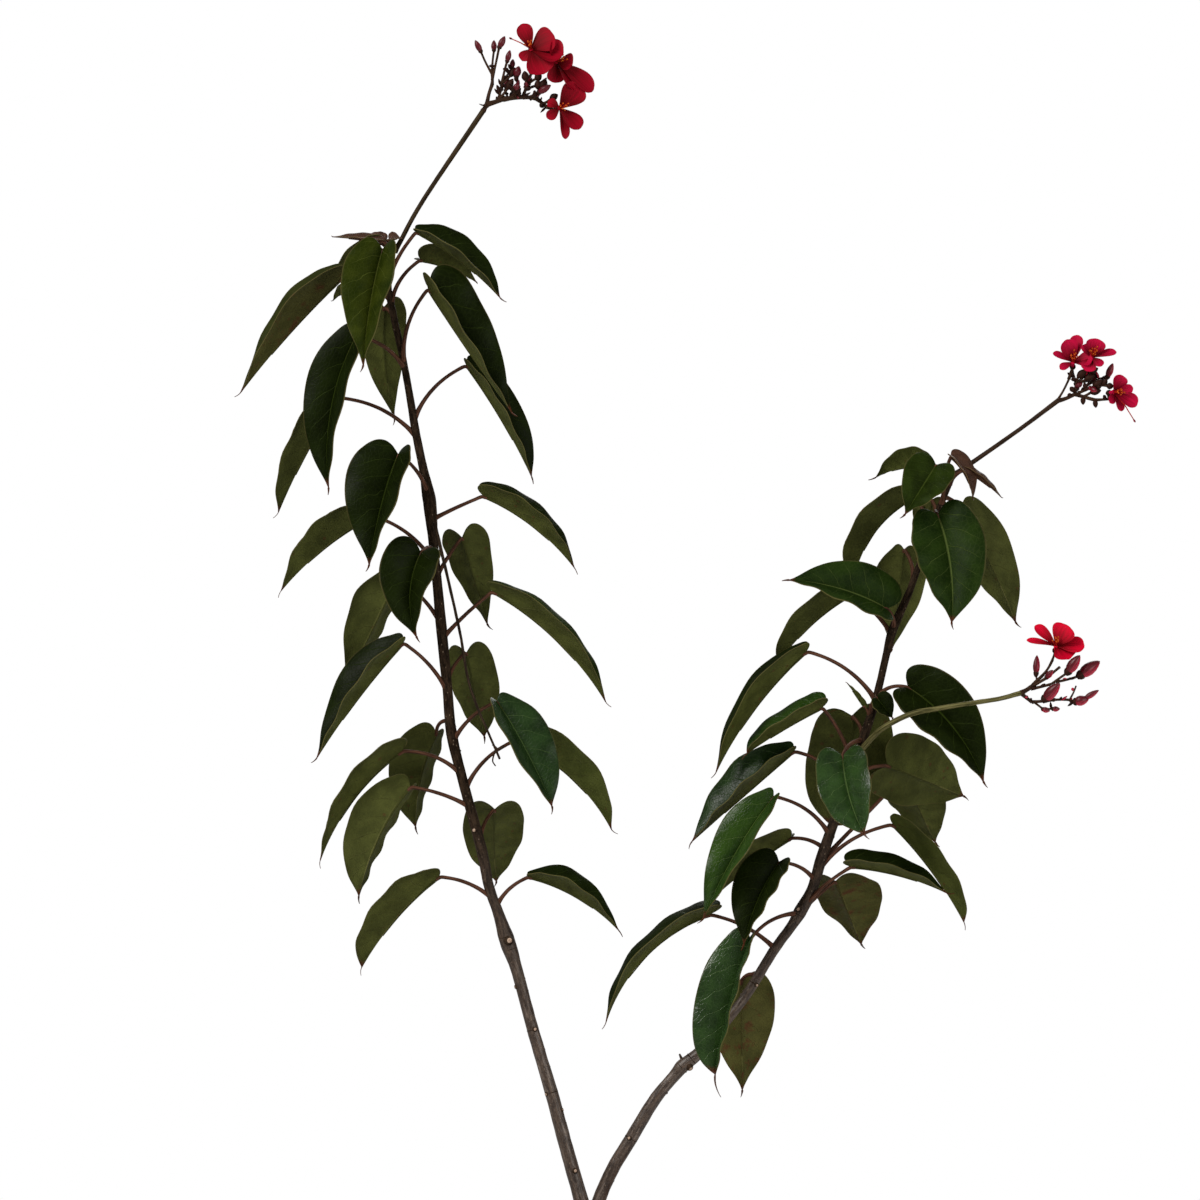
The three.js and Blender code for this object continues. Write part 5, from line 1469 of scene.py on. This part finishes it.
    def add_bracts(self, surface: Surface) -> None:
        """Adds small dark bracts and unopened buds along the branches, seated on them."""
        draw = random.Random(self.bracts)
        inner = self.stalks[len(self.stalks) // 3:]
        for _ in range(self.bracts):
            limb = draw.choice(inner if draw.random() < self.INNER else self.stalks)
            start, end = self.place(*limb[0]), self.place(*limb[1])
            seat = start.lerp(end, draw.uniform(*self.BRACT_SEATS))
            along = (end - start).normalized()
            out = Vector((draw.uniform(-1, 1), draw.uniform(-1, 1), draw.uniform(-0.3, 1))).normalized()
            reach = (out + along * 0.6).normalized() * draw.uniform(*self.BRACT_LENGTHS)
            surface.add_lobe(seat, seat + reach, self.BRACT, draw.uniform(*self.BRACT_RADII), 8,
                             slot=draw.choice((self.CUP, self.CUP, self.CUP, self.RED)),
                             squash=draw.uniform(0.45, 0.9), facing=out)

    def build_stalks(self) -> bpy.types.Object:
        """Makes the stalk with its branches, buds and calyx cups."""
        surface = Surface()
        self.add_stalks(surface)
        self.add_buds(surface)
        self.add_bracts(surface)
        finishes = [
            self.stalk.material(),
            StalkFinish(f"{self.name}_calyx", srgb(22, 12, 8), srgb(52, 28, 20), 0.5).material(),
            PetalFinish(f"{self.name}_bud", srgb(84, 0, 16), self.bud, 0.34, 0.4).material(),
            StalkFinish(f"{self.name}_branch", srgb(30, 18, 10), srgb(66, 44, 30)).material(),
        ]
        return dress(surface.build(f"{self.name}_cyme", finishes), "cyme", f"{self.name}_stalks")

    def build_petals(self) -> list[bpy.types.Object]:
        """Makes the flowers, one piece for each group that touches."""
        pieces = []
        finishes = [
            self.petal.material(),
            PetalFinish(f"{self.name}_filament", srgb(160, 20, 14), srgb(225, 60, 24)).material(),
            PetalFinish(f"{self.name}_anther", srgb(190, 70, 20), srgb(240, 132, 46), 0.6).material(),
        ]
        for number, group in enumerate(self.corollas(), 1):
            surface = Surface()
            for flower in group:
                flower.add_corolla(surface)
            for (styled, flower), reach in self.styles:
                if styled == number - 1:
                    group[flower].add_style(surface, Vector(reach))
            piece = surface.build(f"{self.name}_flowers_{number}", finishes, sharp=80.0)
            pieces.append(dress(piece, "petal", f"{self.name}_petals_{number}"))
        return pieces


BLOOMS = [
    Bloom(
        "bloom_left", LEFT_STEM,
        peduncle=[
            (-137, 664, 0, 1.9), (-133, 672, 0, 1.7), (-116.6, 701.5, 1, 1.6), (-75.2, 763.4, 3, 1.9),
        ],
        stalks=[
            ((-75.2, 763.4, 3), (-72.4, 768.3, 3), 1.9), ((-72.4, 768.3, 3), (-68.8, 781.7, 3), 1.5),
            ((-68.8, 781.7, 3), (-68.8, 789.4, 3), 1.3), ((-68.8, 789.4, 3), (-76.5, 804.7, 1), 0.9),
            ((-68.8, 789.4, 3), (-67.5, 805.7, 6), 0.9), ((-68.8, 785.2, 3), (-63.9, 807.4, -1), 1),
            ((-64.6, 771.1, 3), (-61.8, 782.9, -1), 1.1), ((-61.8, 782.9, -1), (-58.3, 797.5, -3), 1),
            ((-61.8, 782.9, -1), (-54.8, 793.6, 2), 0.9), ((-72.4, 768.3, 3), (-61.1, 771.8, 3), 2),
            ((-61.1, 771.8, 3), (-47.1, 773.3, 3), 1.9), ((-47.1, 773.3, 3), (-37.3, 771.9, 4), 1.7),
            ((-37.3, 771.9, 4), (-29.5, 765.6, 4), 1.5), ((-57.6, 771.8, 3), (-59.7, 780.4, 6), 0.9),
            ((-52, 772.6, 3), (-53.3, 777.9, -3), 0.9), ((-49.9, 773.3, 3), (-52, 787.1, 0), 1),
            ((-47.1, 773.3, 3), (-42.9, 785.3, 5), 1.3), ((-42.9, 785.3, 5), (-39.4, 795.1, 4), 1.1),
            ((-45, 779, 4.6), (-31, 784.2, 11), 1.1), ((-42.2, 773.3, 3), (-36.5, 775.9, -1), 1.1),
        ],
        buds=[
            ((-76.5, 804.7, 1), (-80.7, 813.1, 0), 2.2), ((-67.5, 805.7, 6), (-67.5, 813.5, 7), 2.1),
            ((-63.9, 807.4, -1), (-59.7, 815.8, -2), 2.4), ((-58.3, 797.5, -3), (-56.1, 805.9, -4), 2.1),
            ((-54.8, 793.6, 2), (-54.1, 799.9, 2), 2), ((-52, 787.1, 0), (-49.8, 794.8, -2), 2.8),
            ((-59.7, 780.4, 6), (-57.6, 787.5, 6), 2.5), ((-53.3, 777.9, -3), (-49.8, 782.7, -5), 2.3),
            ((-36.5, 775.9, -1), (-27.4, 781.3, -5), 2.6), ((-42.9, 783.9, 5), (-46.4, 789.4, 3), 2.5),
        ],
        flowers=[
            [
                ((-41.4, 806.5, -6), (-0.15, -0.85, 0.5), [
                    (-6.3, 17.5, -2, 11.5), (16.5, 8.5, -4, 19.5), (22.5, -4.2, -6, 20.5),
                    (9.8, -17.5, -7, 20.5), (-6.3, -8.4, -3, 8.4),
                ]),
                ((-23.2, 797.5, -3), (0.45, -0.7, 0.35), [
                    (-3.5, 14, -9, 14.5), (11, -1.5, -3, 15.5), (25.2, -20.3, 2, 15.5),
                    (13, -19.6, -3, 15.5), (-2.2, -14.5, -2, 13),
                ]),
                ((-21.1, 765.2, -3), (0.45, -0.8, 0.1), [
                    (13.5, 16.5, -3, 19.5), (14, -14.7, -5, 14.5), (4.2, -21.7, -1, 6.8),
                    (-9.1, -7, -4, 7.7), (-8.4, 4.9, 1, 7.7),
                ]),
            ],
        ],
        petal=PetalFinish("left", srgb(90, 0, 6), srgb(158, 0, 30)),
        stalk=StalkFinish("left", srgb(30, 20, 8), srgb(64, 50, 28)),
        bud=srgb(112, 4, 26),
        bracts=64,
        calyces=[
            ((-39, 772.3, 3), (-34, 779, 1), (-31, 786, 0), 3),
            ((-42.9, 783, 5), (-38, 786, 2), (-34, 789, 1), 2.8),
            ((-33, 768.5, 4), (-27.5, 772, 2), (-22.5, 775, 1), 2.6),
            ((-45.3, 778, 4), (-45, 785, 1), (-46, 791.5, 0), 2.8),
            ((-64.6, 771.1, 3), (-58, 779, 0), (-54, 786, -1), 2.6),
            ((-61.8, 782.9, -1), (-56, 788, 1), (-52.5, 794, 2), 2.6),
            ((-37.3, 771.9, 4), (-36, 779, 2), (-37, 785.5, 1), 2.8),
            ((-55, 772.2, 3), (-53, 776, 1), (-48.5, 779.5, 0), 2.5),
        ],
        styles=[((0, 0), (-13.4, -4, 6.8))],
    ),
    Bloom(
        "bloom_right", RIGHT_STEM,
        peduncle=[
            (254, 508, 0, 1.9), (261, 512, 0, 1.7), (299.4, 538.7, -1, 1.5), (326.5, 559, -2, 1.7),
        ],
        stalks=[
            ((326.1, 559, -2), (334.4, 574.3, -3), 0.9), ((334.4, 574.3, -3), (336.8, 581, -1), 1.2),
            ((326.1, 559, -2), (338.7, 563.9, -1), 1.6),
            ((338.7, 563.9, -1), (352.6, 559.7, -2), 1.5), ((352.6, 559.7, -2), (362.3, 560.3, -4), 1.2),
            ((338.7, 563.9, -1), (339.5, 570.9, 0), 1.3), ((339.5, 570.9, 0), (337.4, 577.9, 1), 1.1),
            ((339.5, 570.9, 0), (347.3, 577.9, 2), 1.1), ((340.8, 564.6, -1), (349.1, 568, -3), 1.2),
            ((349.1, 568, -3), (358.1, 570.1, -4), 1.1), ((347.3, 570.2, 2), (355.7, 574.4, 3), 1),
            ((355.7, 574.4, 3), (361.2, 575.1, 1), 1), ((342.3, 572.3, 1), (350.9, 573.1, 5), 1),
            ((350.9, 573.1, 5), (352.3, 575.9, 6), 0.9),
        ],
        buds=[
            ((361.2, 575.1, 1), (365.3, 585.5, 0), 2.5), ((352.3, 575.2, 6), (353.8, 580.1, 7), 2),
            ((338, 565.9, -2), (335.1, 568.7, -4), 1.95), ((344.3, 561.8, -2), (344.3, 556.2, -2), 1.9),
            ((352.6, 559.7, -2), (353.3, 554.1, -2), 1.9), ((349.1, 568, -3), (353.7, 565.8, -9), 2.1),
            ((358.1, 570.1, -4), (360.8, 574.2, -7), 1.9),
        ],
        flowers=[
            [
                ((337.3, 586.2, -1), (0, -0.8, 0.6), [
                    (-4.9, 15.4, -5, 13.3), (-14, 6.3, -1, 5.6), (-9.1, -4.9, -4, 6.3),
                    (3.5, 18.9, 2, 9.8), (13.3, 2.1, -6, 11.9),
                ]),
                ((350.5, 589.6, -4), (0.2, -0.75, 0.6), [
                    (3.5, 12.6, -4, 14), (16.8, 3.5, -3, 7.7), (-6.3, 8.4, -1, 9.8),
                    (-4.2, -9.8, -5, 11.2), (6.3, -6.3, -6, 7.7),
                ]),
            ],
            [
                ((365.6, 565.1, -9), (0.6, -0.75, 0.1), [
                    (4.9, 11.9, -2, 11.2), (13.3, 2.8, 0, 7), (15.4, -9.8, -4, 13.3),
                    (5.6, -13.3, -1, 7.7), (-2.8, -7.7, -4, 7),
                ]),
            ],
        ],
        petal=PetalFinish("right", srgb(104, 0, 16), srgb(198, 6, 62)),
        stalk=StalkFinish("right", srgb(30, 18, 10), srgb(62, 44, 30)),
        bud=srgb(178, 18, 52),
        bracts=34,
        calyces=[
            ((339.5, 570.9, 0), (341, 576, -1), (347, 581, -2), 2.8),
            ((347.3, 577.9, 2), (349, 579, 0), (355, 582, -1), 2.4),
            ((342.3, 572.3, 1), (346, 574, -1), (352.5, 577, -2), 2.6),
            ((349.1, 568, -3), (352, 569.5, -4), (358, 573.5, -5), 2.6),
            ((344.3, 561.8, -2), (350, 565, -2), (357, 566.5, -3), 2.6),
            ((358.1, 570.1, -4), (361, 569.5, -6), (365.5, 569, -7), 2.4),
        ],
        styles=[((1, 0), (13.5, -5, -19.5))],
    ),
    Bloom(
        "bloom_side", RIGHT_STEM,
        peduncle=[
            (190, 316, -2, 2.1), (203, 330, -22, 2), (222.6, 340.5, -36, 1.9), (241.3, 344.5, -41, 1.8),
            (266.1, 348.5, -42, 1.7), (284.9, 351.5, -42, 1.6), (299.8, 355.5, -42, 1.8),
        ],
        stalks=[
            ((299.5, 355.4, -42), (306.5, 359.5, -42), 1.8),
            ((306.5, 359.5, -42), (313.5, 366.5, -41), 1.3),
            ((313.5, 366.5, -41), (321.2, 377.6, -40), 1.1),
            ((306.5, 359.5, -42), (318.2, 366.5, -44), 1.3),
            ((318.2, 366.5, -44), (326.5, 373.5, -44), 1.1),
            ((310.7, 361.6, -41), (310.1, 367.9, -39), 0.8),
            ((306.5, 358.2, -42), (320.9, 361.7, -46), 1.2),
            ((320.9, 361.7, -46), (331.2, 369.3, -49), 1), ((323.7, 363.1, -46), (339.7, 367.2, -45), 1),
            ((299.5, 355.4, -42), (307.2, 349.1, -42), 1.5),
            ((307.2, 349.1, -42), (316.1, 349.8, -44), 1.3),
            ((316.1, 349.8, -44), (333.4, 350.6, -46), 1.1),
            ((333.4, 350.6, -46), (337.5, 348.5, -47), 0.9),
            ((308.6, 349.1, -42), (314.8, 344.3, -42), 0.9),
            ((314.8, 344.3, -42), (321, 344.3, -43), 0.8),
            ((333.4, 351.2, -46), (337.7, 360.3, -44), 0.7),
        ],
        buds=[
            ((310.1, 367.9, -39), (310.8, 381.8, -38), 2.5),
            ((316.8, 365.8, -44), (321.5, 371.4, -48), 2.3), ((331.2, 369.3, -49), (340, 381.8, -53), 4),
            ((339.7, 367.2, -45), (354.4, 377.6, -43), 4.6),
            ((315.3, 350.6, -46), (326.1, 362.4, -53), 4.2),
            ((336.1, 349.2, -47), (346.4, 351.3, -49), 3.7),
            ((343, 351.3, -48), (353.4, 357.5, -49), 2.2),
            ((314.1, 344.3, -42), (319.6, 342.9, -44), 2.1),
            ((321, 344.3, -43), (326.6, 344.3, -43), 2),
        ],
        flowers=[
            [
                ((323.7, 388.1, -45), (0.05, -0.8, 0.6), [
                    (-14.7, 14, -1, 8.5), (-20.3, 4.2, 1, 5.6), (8.5, 14, -2, 18.5),
                    (19.5, -0.5, -4, 15), (9, -9, -7, 19),
                ]),
            ],
        ],
        petal=PetalFinish("side", srgb(112, 0, 10), srgb(222, 0, 46)),
        stalk=StalkFinish("side", srgb(56, 54, 26), srgb(116, 110, 70)),
        bud=srgb(206, 20, 66),
        bracts=14,
    ),
]


# Pot and soil

@dataclass
class Pot:
    """The turned clay pot: a tapered wall with a rim band, a flat foot and drain holes."""

    height: float = 210.0
    rim_radius: float = 130.0
    base_radius: float = 88.0
    wall: float = 7.0
    floor: float = 10.0
    band_height: float = 34.0
    band_out: float = 6.0
    edge: float = 2.5
    sides: int = 144
    drain_ring: float = 46.0
    drain_radius: float = 6.0
    drains: int = 3

    FLAT = 70.0
    FLOOR_RINGS = (58.0, 30.0, 8.0)
    INSIDE_HEIGHTS = (190.0, 150.0, 100.0, 50.0, 14.0)
    EVEN = 3.0
    WOBBLE = 0.0022

    def radius_at(self, height: float) -> float:
        """The outer radius at a height, below the band."""
        return self.base_radius + (self.rim_radius - self.band_out - self.base_radius) * height / self.height

    def profile(self) -> list[tuple[float, float]]:
        """The wall's outline from the edge of the floor's underside, round the rim, to the inside floor."""
        foot = self.height - self.band_height
        e = self.edge
        inner = self.radius_at(self.height) - self.wall
        wall = [(self.radius_at(foot * i / 10), foot * i / 10) for i in range(1, 10)]
        inside = [(self.radius_at(h) - self.wall, h) for h in self.INSIDE_HEIGHTS]
        return [
            (self.FLAT, 0.0), (self.base_radius - e, 0.0), (self.base_radius - e * 0.4, e * 0.3),
            (self.base_radius, e), *wall,
            (self.radius_at(foot), foot - 1.0), (self.radius_at(foot) + 0.8, foot),
            (self.rim_radius - e, foot + e * 0.4), (self.rim_radius - e * 0.3, foot + e),
            (self.rim_radius, foot + 2 * e), (self.rim_radius, self.height - 2 * e),
            (self.rim_radius - e * 0.3, self.height - e), (self.rim_radius - e * 1.1, self.height),
            (inner + e, self.height), (inner, self.height - e), *inside,
            (self.radius_at(self.floor) - self.wall - 2, self.floor + 0.6), (self.FLAT, self.floor),
        ]

    def build(self) -> bpy.types.Object:
        """Makes the pot."""
        surface = Surface()
        rows = []
        for radius, height in self.profile():
            row = []
            for spot in circle(radius, height, self.sides):
                if self.EVEN < height < self.height - self.EVEN and radius > self.base_radius + 2.0:
                    wobble = noise.noise(Vector((spot.x * 0.02, spot.y * 0.02, spot.z * 0.12)))
                    spot.xy *= 1.0 + self.WOBBLE * wobble
                row.append(surface.add_point(spot, tuple(spot)))
            rows.append(row)
        surface.add_rows(rows, 0, closed=True)
        self.add_floor(surface, rows[0], 0.0, True)
        self.add_floor(surface, rows[-1], self.floor, False)
        piece = surface.build("pot_clay", [ClayFinish().material()], sharp=40.0)
        self.bore(piece)
        return dress(piece, "clay", "pot")

    def add_floor(self, surface: Surface, ring: list[int], height: float, down: bool) -> None:
        """Closes a ring with rings of its own towards the middle.

        Args:
            surface: The pot's surface.
            ring: The point numbers round the edge.
            height: The floor's height.
            down: Whether it looks down.
        """
        rows = [ring]
        for radius in self.FLOOR_RINGS:
            rows.append([surface.add_point(spot, tuple(spot)) for spot in circle(radius, height, self.sides)])
        surface.add_rows(rows, 0, closed=True, flip=down)
        middle = surface.add_point(Vector((0, 0, height)), (0.0, 0.0, height))
        last = rows[-1]
        for k in range(self.sides):
            n = (k + 1) % self.sides
            surface.add_face((middle, last[n], last[k]) if down else (middle, last[k], last[n]), 0)

    def bore(self, piece: bpy.types.Object) -> None:
        """Cuts the drain holes through the floor."""
        drills = Surface()
        for foot in circle(self.drain_ring, 0.0, self.drains):
            path = [foot + UP * height for height in (-self.floor, 0.5 * self.floor, 2 * self.floor)]
            drills.add_tube(path, [self.drain_radius] * 3, 28)
        drill = drills.build("drills", [])
        cut = piece.modifiers.new("drain", "BOOLEAN")
        cut.object = drill
        cut.operation = "DIFFERENCE"
        cut.solver = "EXACT"
        graph = bpy.context.evaluated_depsgraph_get()
        bored = bpy.data.meshes.new_from_object(piece.evaluated_get(graph))
        piece.modifiers.clear()
        piece.data = bored
        bpy.data.objects.remove(drill)


@dataclass
class Soil:
    """Potting mix that fills the pot to a little under its rim, heaped slightly and strewn with crumbs."""

    top: float = 184.0
    mound: float = 3.0
    radius: float = 112.4
    foot_radius: float = 82.5
    foot: float = 10.3
    edge: float = 6.0
    crumbs: int = 900
    rings: int = 60
    sides: int = 150

    # Unevenness from coarse to fine: height, scale and layer of the noise
    LUMPS = ((1.8, 0.06, 1.0), (1.3, 0.22, 5.0), (0.6, 0.6, 9.0))
    CRUMB_SIZES = (0.9, 1.2, 1.6, 2.2, 3.0)

    def height(self, x: float, y: float) -> float:
        """The height of the surface at a place."""
        reach = math.hypot(x, y)
        heap = self.mound * smooth_step(self.radius, 40.0, reach)
        lumps = sum(height * noise.noise(Vector((x * scale, y * scale, layer)))
                    for height, scale, layer in self.LUMPS)
        fade = smooth_step(self.radius, self.radius - self.edge, reach)
        return self.top + heap + lumps * fade

    def build(self) -> bpy.types.Object:
        """Makes the soil."""
        surface = Surface()
        hole = TRUNK.points[0][2] * 0.6
        rows = []
        for i in range(self.rings + 1):
            radius = hole + (self.radius - hole) * i / self.rings
            rows.append([surface.add_point(Vector((x, y, self.height(x, y))), (x, y, 0.0))
                         for x, y, _ in circle(radius, 0.0, self.sides)])
        surface.add_rows(rows, 0, closed=True, flip=True)
        skirt = [[surface.add_point(spot) for spot in circle(radius, self.foot, self.sides)]
                 for radius in (self.foot_radius, hole)]
        surface.add_rows([rows[-1], *skirt, rows[0]], 0, closed=True, flip=True)
        self.strew(surface)
        piece = surface.build("soil_mix", [SoilFinish().material()], sharp=50.0)
        return dress(piece, "soil", "soil")

    def strew(self, surface: Surface) -> None:
        """Lays crumbs and bits of bark on the surface, half sunk in it."""
        draw = random.Random(19)
        for _ in range(self.crumbs):
            reach = math.sqrt(draw.uniform(0.012, 0.93)) * self.radius
            angle = draw.uniform(0, TURN)
            x, y = math.cos(angle) * reach, math.sin(angle) * reach
            size = draw.choice(self.CRUMB_SIZES) * draw.uniform(0.8, 1.2)
            centre = Vector((x, y, self.height(x, y) + size * 0.15))
            axis = Vector((draw.uniform(-1, 1), draw.uniform(-1, 1), draw.uniform(-0.35, 0.35))).normalized()
            long = size * draw.uniform(0.9, 1.7)
            profile = [(0.12, draw.uniform(0.45, 0.75)), (0.45, draw.uniform(0.8, 1.0)),
                       (0.8, draw.uniform(0.5, 0.85))]
            surface.add_lobe(centre - axis * long, centre + axis * long, profile, size, 6,
                             squash=draw.uniform(0.6, 0.9), facing=UP)


# Studio

@dataclass
class Studio:
    """The photographer's stand-in: camera, floor and soft light."""

    frame_width: float = 0.84
    centre: tuple[float, float, float] = (0.007, 0.0, 0.67)
    distance: float = 7.0
    sensor: float = 36.0
    floor_radius: float = 1.5

    FLOOR_SIDES = 96
    FLOOR_DEPTH = 20.0
    FLOOR_GAP = 0.0005
    # Each light's name, place, size in metres, power in watts and colour
    LAMPS = (
        ("key", (-1.9, -2.0, 2.6), 1.2, 84.0, (1.0, 0.98, 0.94)),
        ("fill", (2.2, -2.4, 0.9), 1.8, 38.0, (1.0, 0.99, 0.96)),
        ("back", (0.6, 2.4, 2.2), 2.0, 36.0, (1.0, 1.0, 1.0)),
    )
    # What the camera sees all round, and what the object is lit by: colour and strength
    SEEN = ((1.0, 1.0, 1.0, 1.0), 1.0)
    LIT = ((1.0, 0.99, 0.96, 1.0), 0.27)

    def camera(self) -> None:
        """Aims a level long lens, so that the frame takes in the same width as the photograph."""
        data = bpy.data.cameras.new("camera")
        data.sensor_width = self.sensor
        data.lens = self.sensor * self.distance / self.frame_width
        data.clip_end = 60.0
        camera = bpy.data.objects.new("camera", data)
        camera.location = Vector(self.centre) + VIEWER * self.distance
        camera.rotation_euler = (math.pi / 2, 0.0, 0.0)
        bpy.context.scene.collection.objects.link(camera)
        bpy.context.scene.camera = camera

    def floor(self) -> None:
        """Lays the pale round floor."""
        surface = Surface()
        rim = [surface.add_point(spot) for spot in circle(self.floor_radius / MM, 0.0, self.FLOOR_SIDES)]
        low = [surface.add_point(surface.points[n] - UP * self.FLOOR_DEPTH) for n in rim]
        surface.add_face(tuple(rim))
        surface.add_face(tuple(low[::-1]))
        surface.add_rows([low, rim], 0, closed=True)
        floor = surface.build("floor", [StudioFinish().material()], sharp=30.0)
        floor.location.z = -self.FLOOR_GAP

    def light(self, name: str, place: Place, size: float, power: float, tint: Colour) -> None:
        """Hangs one soft square light, aimed at the middle of the plant.

        Args:
            name: The light's name.
            place: Where it hangs, in metres.
            size: Its side, in metres.
            power: Its power, in watts.
            tint: Its colour.
        """
        data = bpy.data.lights.new(name, "AREA")
        data.size = size
        data.energy = power
        data.color = tint
        lamp = bpy.data.objects.new(name, data)
        lamp.location = place
        lamp.rotation_euler = (Vector(self.centre) - Vector(place)).to_track_quat("-Z", "Y").to_euler()
        bpy.context.scene.collection.objects.link(lamp)

    def world(self) -> None:
        """Surrounds the object with even white that lights it only softly."""
        world = bpy.data.worlds.new("studio")
        bpy.context.scene.world = world
        world.use_nodes = True
        tree = world.node_tree
        tree.nodes.clear()
        output = tree.nodes.new("ShaderNodeOutputWorld")
        mix = tree.nodes.new("ShaderNodeMixShader")
        for socket, (colour, strength) in ((1, self.LIT), (2, self.SEEN)):
            sky = tree.nodes.new("ShaderNodeBackground")
            sky.inputs["Color"].default_value = colour
            sky.inputs["Strength"].default_value = strength
            tree.links.new(sky.outputs[0], mix.inputs[socket])
        path = tree.nodes.new("ShaderNodeLightPath")
        tree.links.new(path.outputs["Is Camera Ray"], mix.inputs[0])
        tree.links.new(mix.outputs[0], output.inputs[0])

    def build(self) -> None:
        """Sets up camera, floor and light."""
        self.camera()
        self.floor()
        self.world()
        for lamp in self.LAMPS:
            self.light(*lamp)
        bpy.context.scene.view_settings.view_transform = "Standard"


def report(piece: bpy.types.Object) -> None:
    """Logs a piece and how many faces it has."""
    LOG.info("%s: %d faces", piece.name, len(piece.data.polygons))


def main() -> None:
    """Builds the plant, its pot and the studio."""
    logging.basicConfig(level=logging.INFO, format="%(name)s %(message)s")
    Studio().build()
    for thing in (Pot(), Soil(), Wood()):
        report(thing.build())
    for side, stem, rows in (("left", LEFT_STEM, LEFT_LEAVES), ("right", RIGHT_STEM, RIGHT_LEAVES)):
        for number, row in enumerate(rows, 1):
            name = f"leaf_{side}_{number:02d}"
            report(Leaf(name, stem, *row).build(name))
    for row in YOUNG_LEAVES:
        report(Leaf(*row, tail=YOUNG_TAIL).build("stems"))
    for bloom in BLOOMS:
        report(bloom.build_stalks())
        for piece in bloom.build_petals():
            report(piece)


if __name__ == "__main__":
    main()
